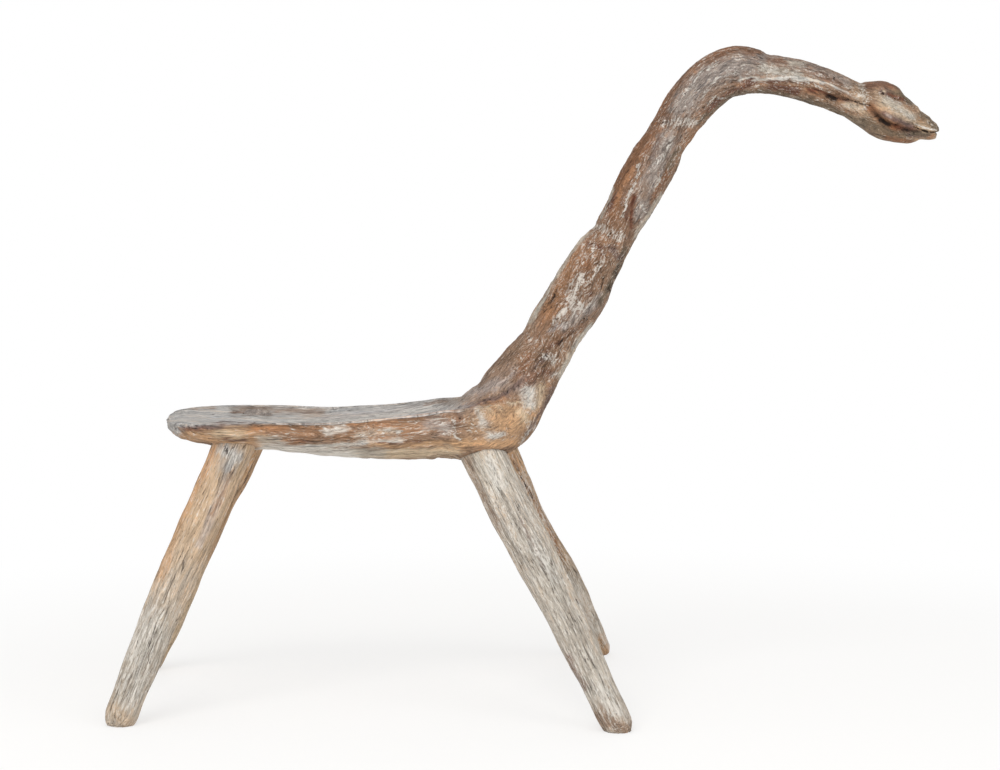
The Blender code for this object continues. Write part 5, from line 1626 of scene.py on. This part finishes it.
LEG_LIME = {
    "front_left": strokes(
        ("limed lower half", 22.0, 0.62, (150, 620), (130, 690)),
        ("blue-white patch", 6.0, 0.8, (226, 452), (234, 458)),
    ),
    "front_right": strokes(),
    "rear_left": strokes(
        ("limed all over", 40.0, 0.36, (500, 480), (600, 700)),
        ("white upper face", 8.0, 0.9, (490, 462), (500, 485)),
        ("white face half way down", 9.0, 0.8, (534, 545), (556, 580)),
        ("white above the foot", 8.0, 0.8, (606, 690), (616, 712)),
    ),
    "rear_right": strokes(("a little lime", 12.0, 0.54, (520, 480), (560, 560), (600, 640))),
}
print(sum(len(rows) for rows in LEG_TINTS.values()), "tints on the four legs")

# %% A leg from its rows to its paint
TOP_CALM = 0.7  # how much shallower the marks are at the top, where the leg was turned to fit its socket
CALM_FROM, CALM_TO = STRAIGHT_TOP_SHARE, 0.97
AXIS_RADIUS = 1e-5  # points nearer the axis than this aren't moved
LEG_WANDER_PIXELS = 1.6
TENON_TOP_FADE = 0.004  # metres past the shoulder in which the leg's paint gives way to the bare tenon's


def make_leg(name, place, seed):
    """A hewn, painted leg with its tenon and the kerf for its wedge."""
    rows, shank_count = leg_rows(place)
    hewn = hewn_radius(seed)
    fade = 1.0 - TOP_CALM * smooth_step(rows[:, 0] / place.shoulder, CALM_FROM, CALM_TO)
    fade[shank_count:] = 0.0

    def radius_at(distance, angle, radius):
        cut = hewn(distance, angle, radius)
        return radius + (cut - radius) * fade[:, None]

    places, grain = round_grid(place, rows, LEG_POINTS, radius_at)
    grain = grain + (seed, 0.0, 0.0)
    drawn = grain * (LEG_DRAW, 1.0, 1.0)
    normals = grid_normals(places)
    depth = LEG_LUMPS.deep * (LEG_LUMPS.sunk + layer_noise(grain, LEG_LUMPS, BROAD_OCTAVES))
    depth += LEG_FURROWS.deep * (LEG_FURROWS.sunk + layer_noise(drawn, LEG_FURROWS))
    depth = np.maximum(depth, -GAP).reshape(places.shape[:2]) * fade[:, None]
    inner = (grain[..., 1:] ** 2).sum(axis=-1)
    depth[inner < AXIS_RADIUS**2] = 0.0
    axis_y = np.repeat(place.foot.y + rows[:, 0] * place.way.y, LEG_POINTS)
    plain_views = Views(places, normals, 0.0, middle=axis_y)
    for stroke in LEG_CUTS[name]:
        depth += stroke.much * plain_views.cover(stroke).reshape(depth.shape) * fade[:, None]
    worked_leg = places - normals * depth[..., None]
    worked_leg = slid_to_plane(worked_leg, place.way, (0, 0, 0), (0, 0, -1))
    if place.leg.through:
        worked_leg = slid_to_plane(worked_leg, place.way, place.finish, place.top_normal)
    views = Views(worked_leg, normals, 1.0, wandering(grain, LEG_WANDER_PIXELS), axis_y)
    ground = np.tile(WOODS["tan"], (len(views.seen), 1))
    fields = mottles(drawn)
    from_foot = grain.reshape(-1, 3)[:, 0] - seed
    on_tenon = smooth_step(from_foot, place.shoulder, place.shoulder + TENON_TOP_FADE)[:, None]
    tinted = paint(ground, LEG_TINTS[name], views, fields)
    painted = (
        tinted + (np.array(WOODS["dusk"]) - tinted) * on_tenon,
        gathered(LEG_LIME[name], views, fields),
        gathered(LEG_DARKS[name], views, fields),
    )
    mesh = mesh_of_grid(name + "_leg_skin", worked_leg)
    source_points = points_of(mesh)
    attributes = painted_points(drawn, painted)
    mesh = cut_away(mesh, wedge_mesh(name + "_kerf", place, GAP, OVERRUN))
    finished("worked_" + name + "_leg", mesh, attributes, source_points, LEG_WOOD)


print("the marks fade by", TOP_CALM, "from", CALM_FROM, "to", CALM_TO, "of the way to a leg's shoulder")

# %% [markdown]
# ## The wedges
# A wedge is a tapered plate of darker, harder wood. It lies square to the seat's grain, so that it spreads
# the tenon and doesn't split the seat. Its narrow sides are parts of the tenon's own round, so the outline is
# two straight lines and two short arcs.

# %% Plates that fill the kerfs
ARC_POINTS = 8
WEDGE_STEPS = 12


def wedge_mesh(name, place, clearance, overrun):
    """The plate itself, or with a clearance the cutter that saws its kerf."""
    leg = place.leg
    flat = np.array(Vector((0.0, 1.0, 0.0)).cross(place.way).normalized())
    way = np.array(place.way)
    wide = np.cross(way, flat)
    outer = (place.finish - place.foot).dot(place.way) if leg.through else place.end
    inner = outer - KERF_DEPTH - clearance
    slope = (WEDGE_THICK_END - WEDGE_THIN_END) / KERF_DEPTH
    thick = WEDGE_THICK_END / 2 + clearance + slope * overrun / 2
    thin = WEDGE_THIN_END / 2 + clearance - slope * clearance / 2
    radius = leg.tenon / 2 + (overrun if clearance else 0.0)
    rings = []
    for k in range(WEDGE_STEPS + 1):
        share = k / WEDGE_STEPS
        half = thin + (thick - thin) * share
        aside = np.linspace(-half, half, ARC_POINTS)
        reach = np.sqrt(radius**2 - aside**2)
        outline = np.concatenate([np.column_stack([aside, reach]), np.column_stack([aside[::-1], -reach])])
        middle = np.array(place.foot) + way * (inner + (outer + overrun - inner) * share)
        rings.append(middle + outline[:, :1] * flat + outline[:, 1:] * wide)
    places = with_caps(np.array(rings))
    if leg.through and not clearance:
        places = slid_to_plane(places, way, place.finish, place.top_normal)
    mesh = mesh_of_grid(name, places)
    shaping = bmesh.new()
    shaping.from_mesh(mesh)
    bmesh.ops.recalc_face_normals(shaping, faces=shaping.faces)
    shaping.to_mesh(mesh)
    shaping.free()
    return mesh


def make_wedge(name, place):
    """A wedge in its kerf, with grain but no marks of its own."""
    mesh = wedge_mesh(name + "_wedge_plate", place, 0.0, OVERRUN if place.leg.through else 0.0)
    points = points_of(mesh)
    local = points - np.array(place.foot)
    grain = np.stack([local @ np.array(v) for v in (place.way, place.front, place.side)], axis=1)
    count = len(points)
    attributes = Painted(grain, np.tile(WOODS["dusk"], (count, 1)), np.zeros(count), np.zeros(count))
    finished("worked_" + name + "_wedge", mesh, attributes, points, WEDGE_WOOD)


print("a wedge narrows from", WEDGE_THICK_END, "to", WEDGE_THIN_END, "m in a kerf of", KERF_DEPTH, "m")

# %% Make them
for seed, (name, place) in enumerate(places_of_legs.items(), start=1):
    make_leg(name, place, float(seed))
    make_wedge(name, place)

# %% [markdown]
# ## The imported model's size
# The dressed stool is made to the imported model's size. The last cell prints the imported model's box.

# %% Print the imported model's box
print("packed box", [[round(v, 4) for v in c] for c in CAD_BOX])
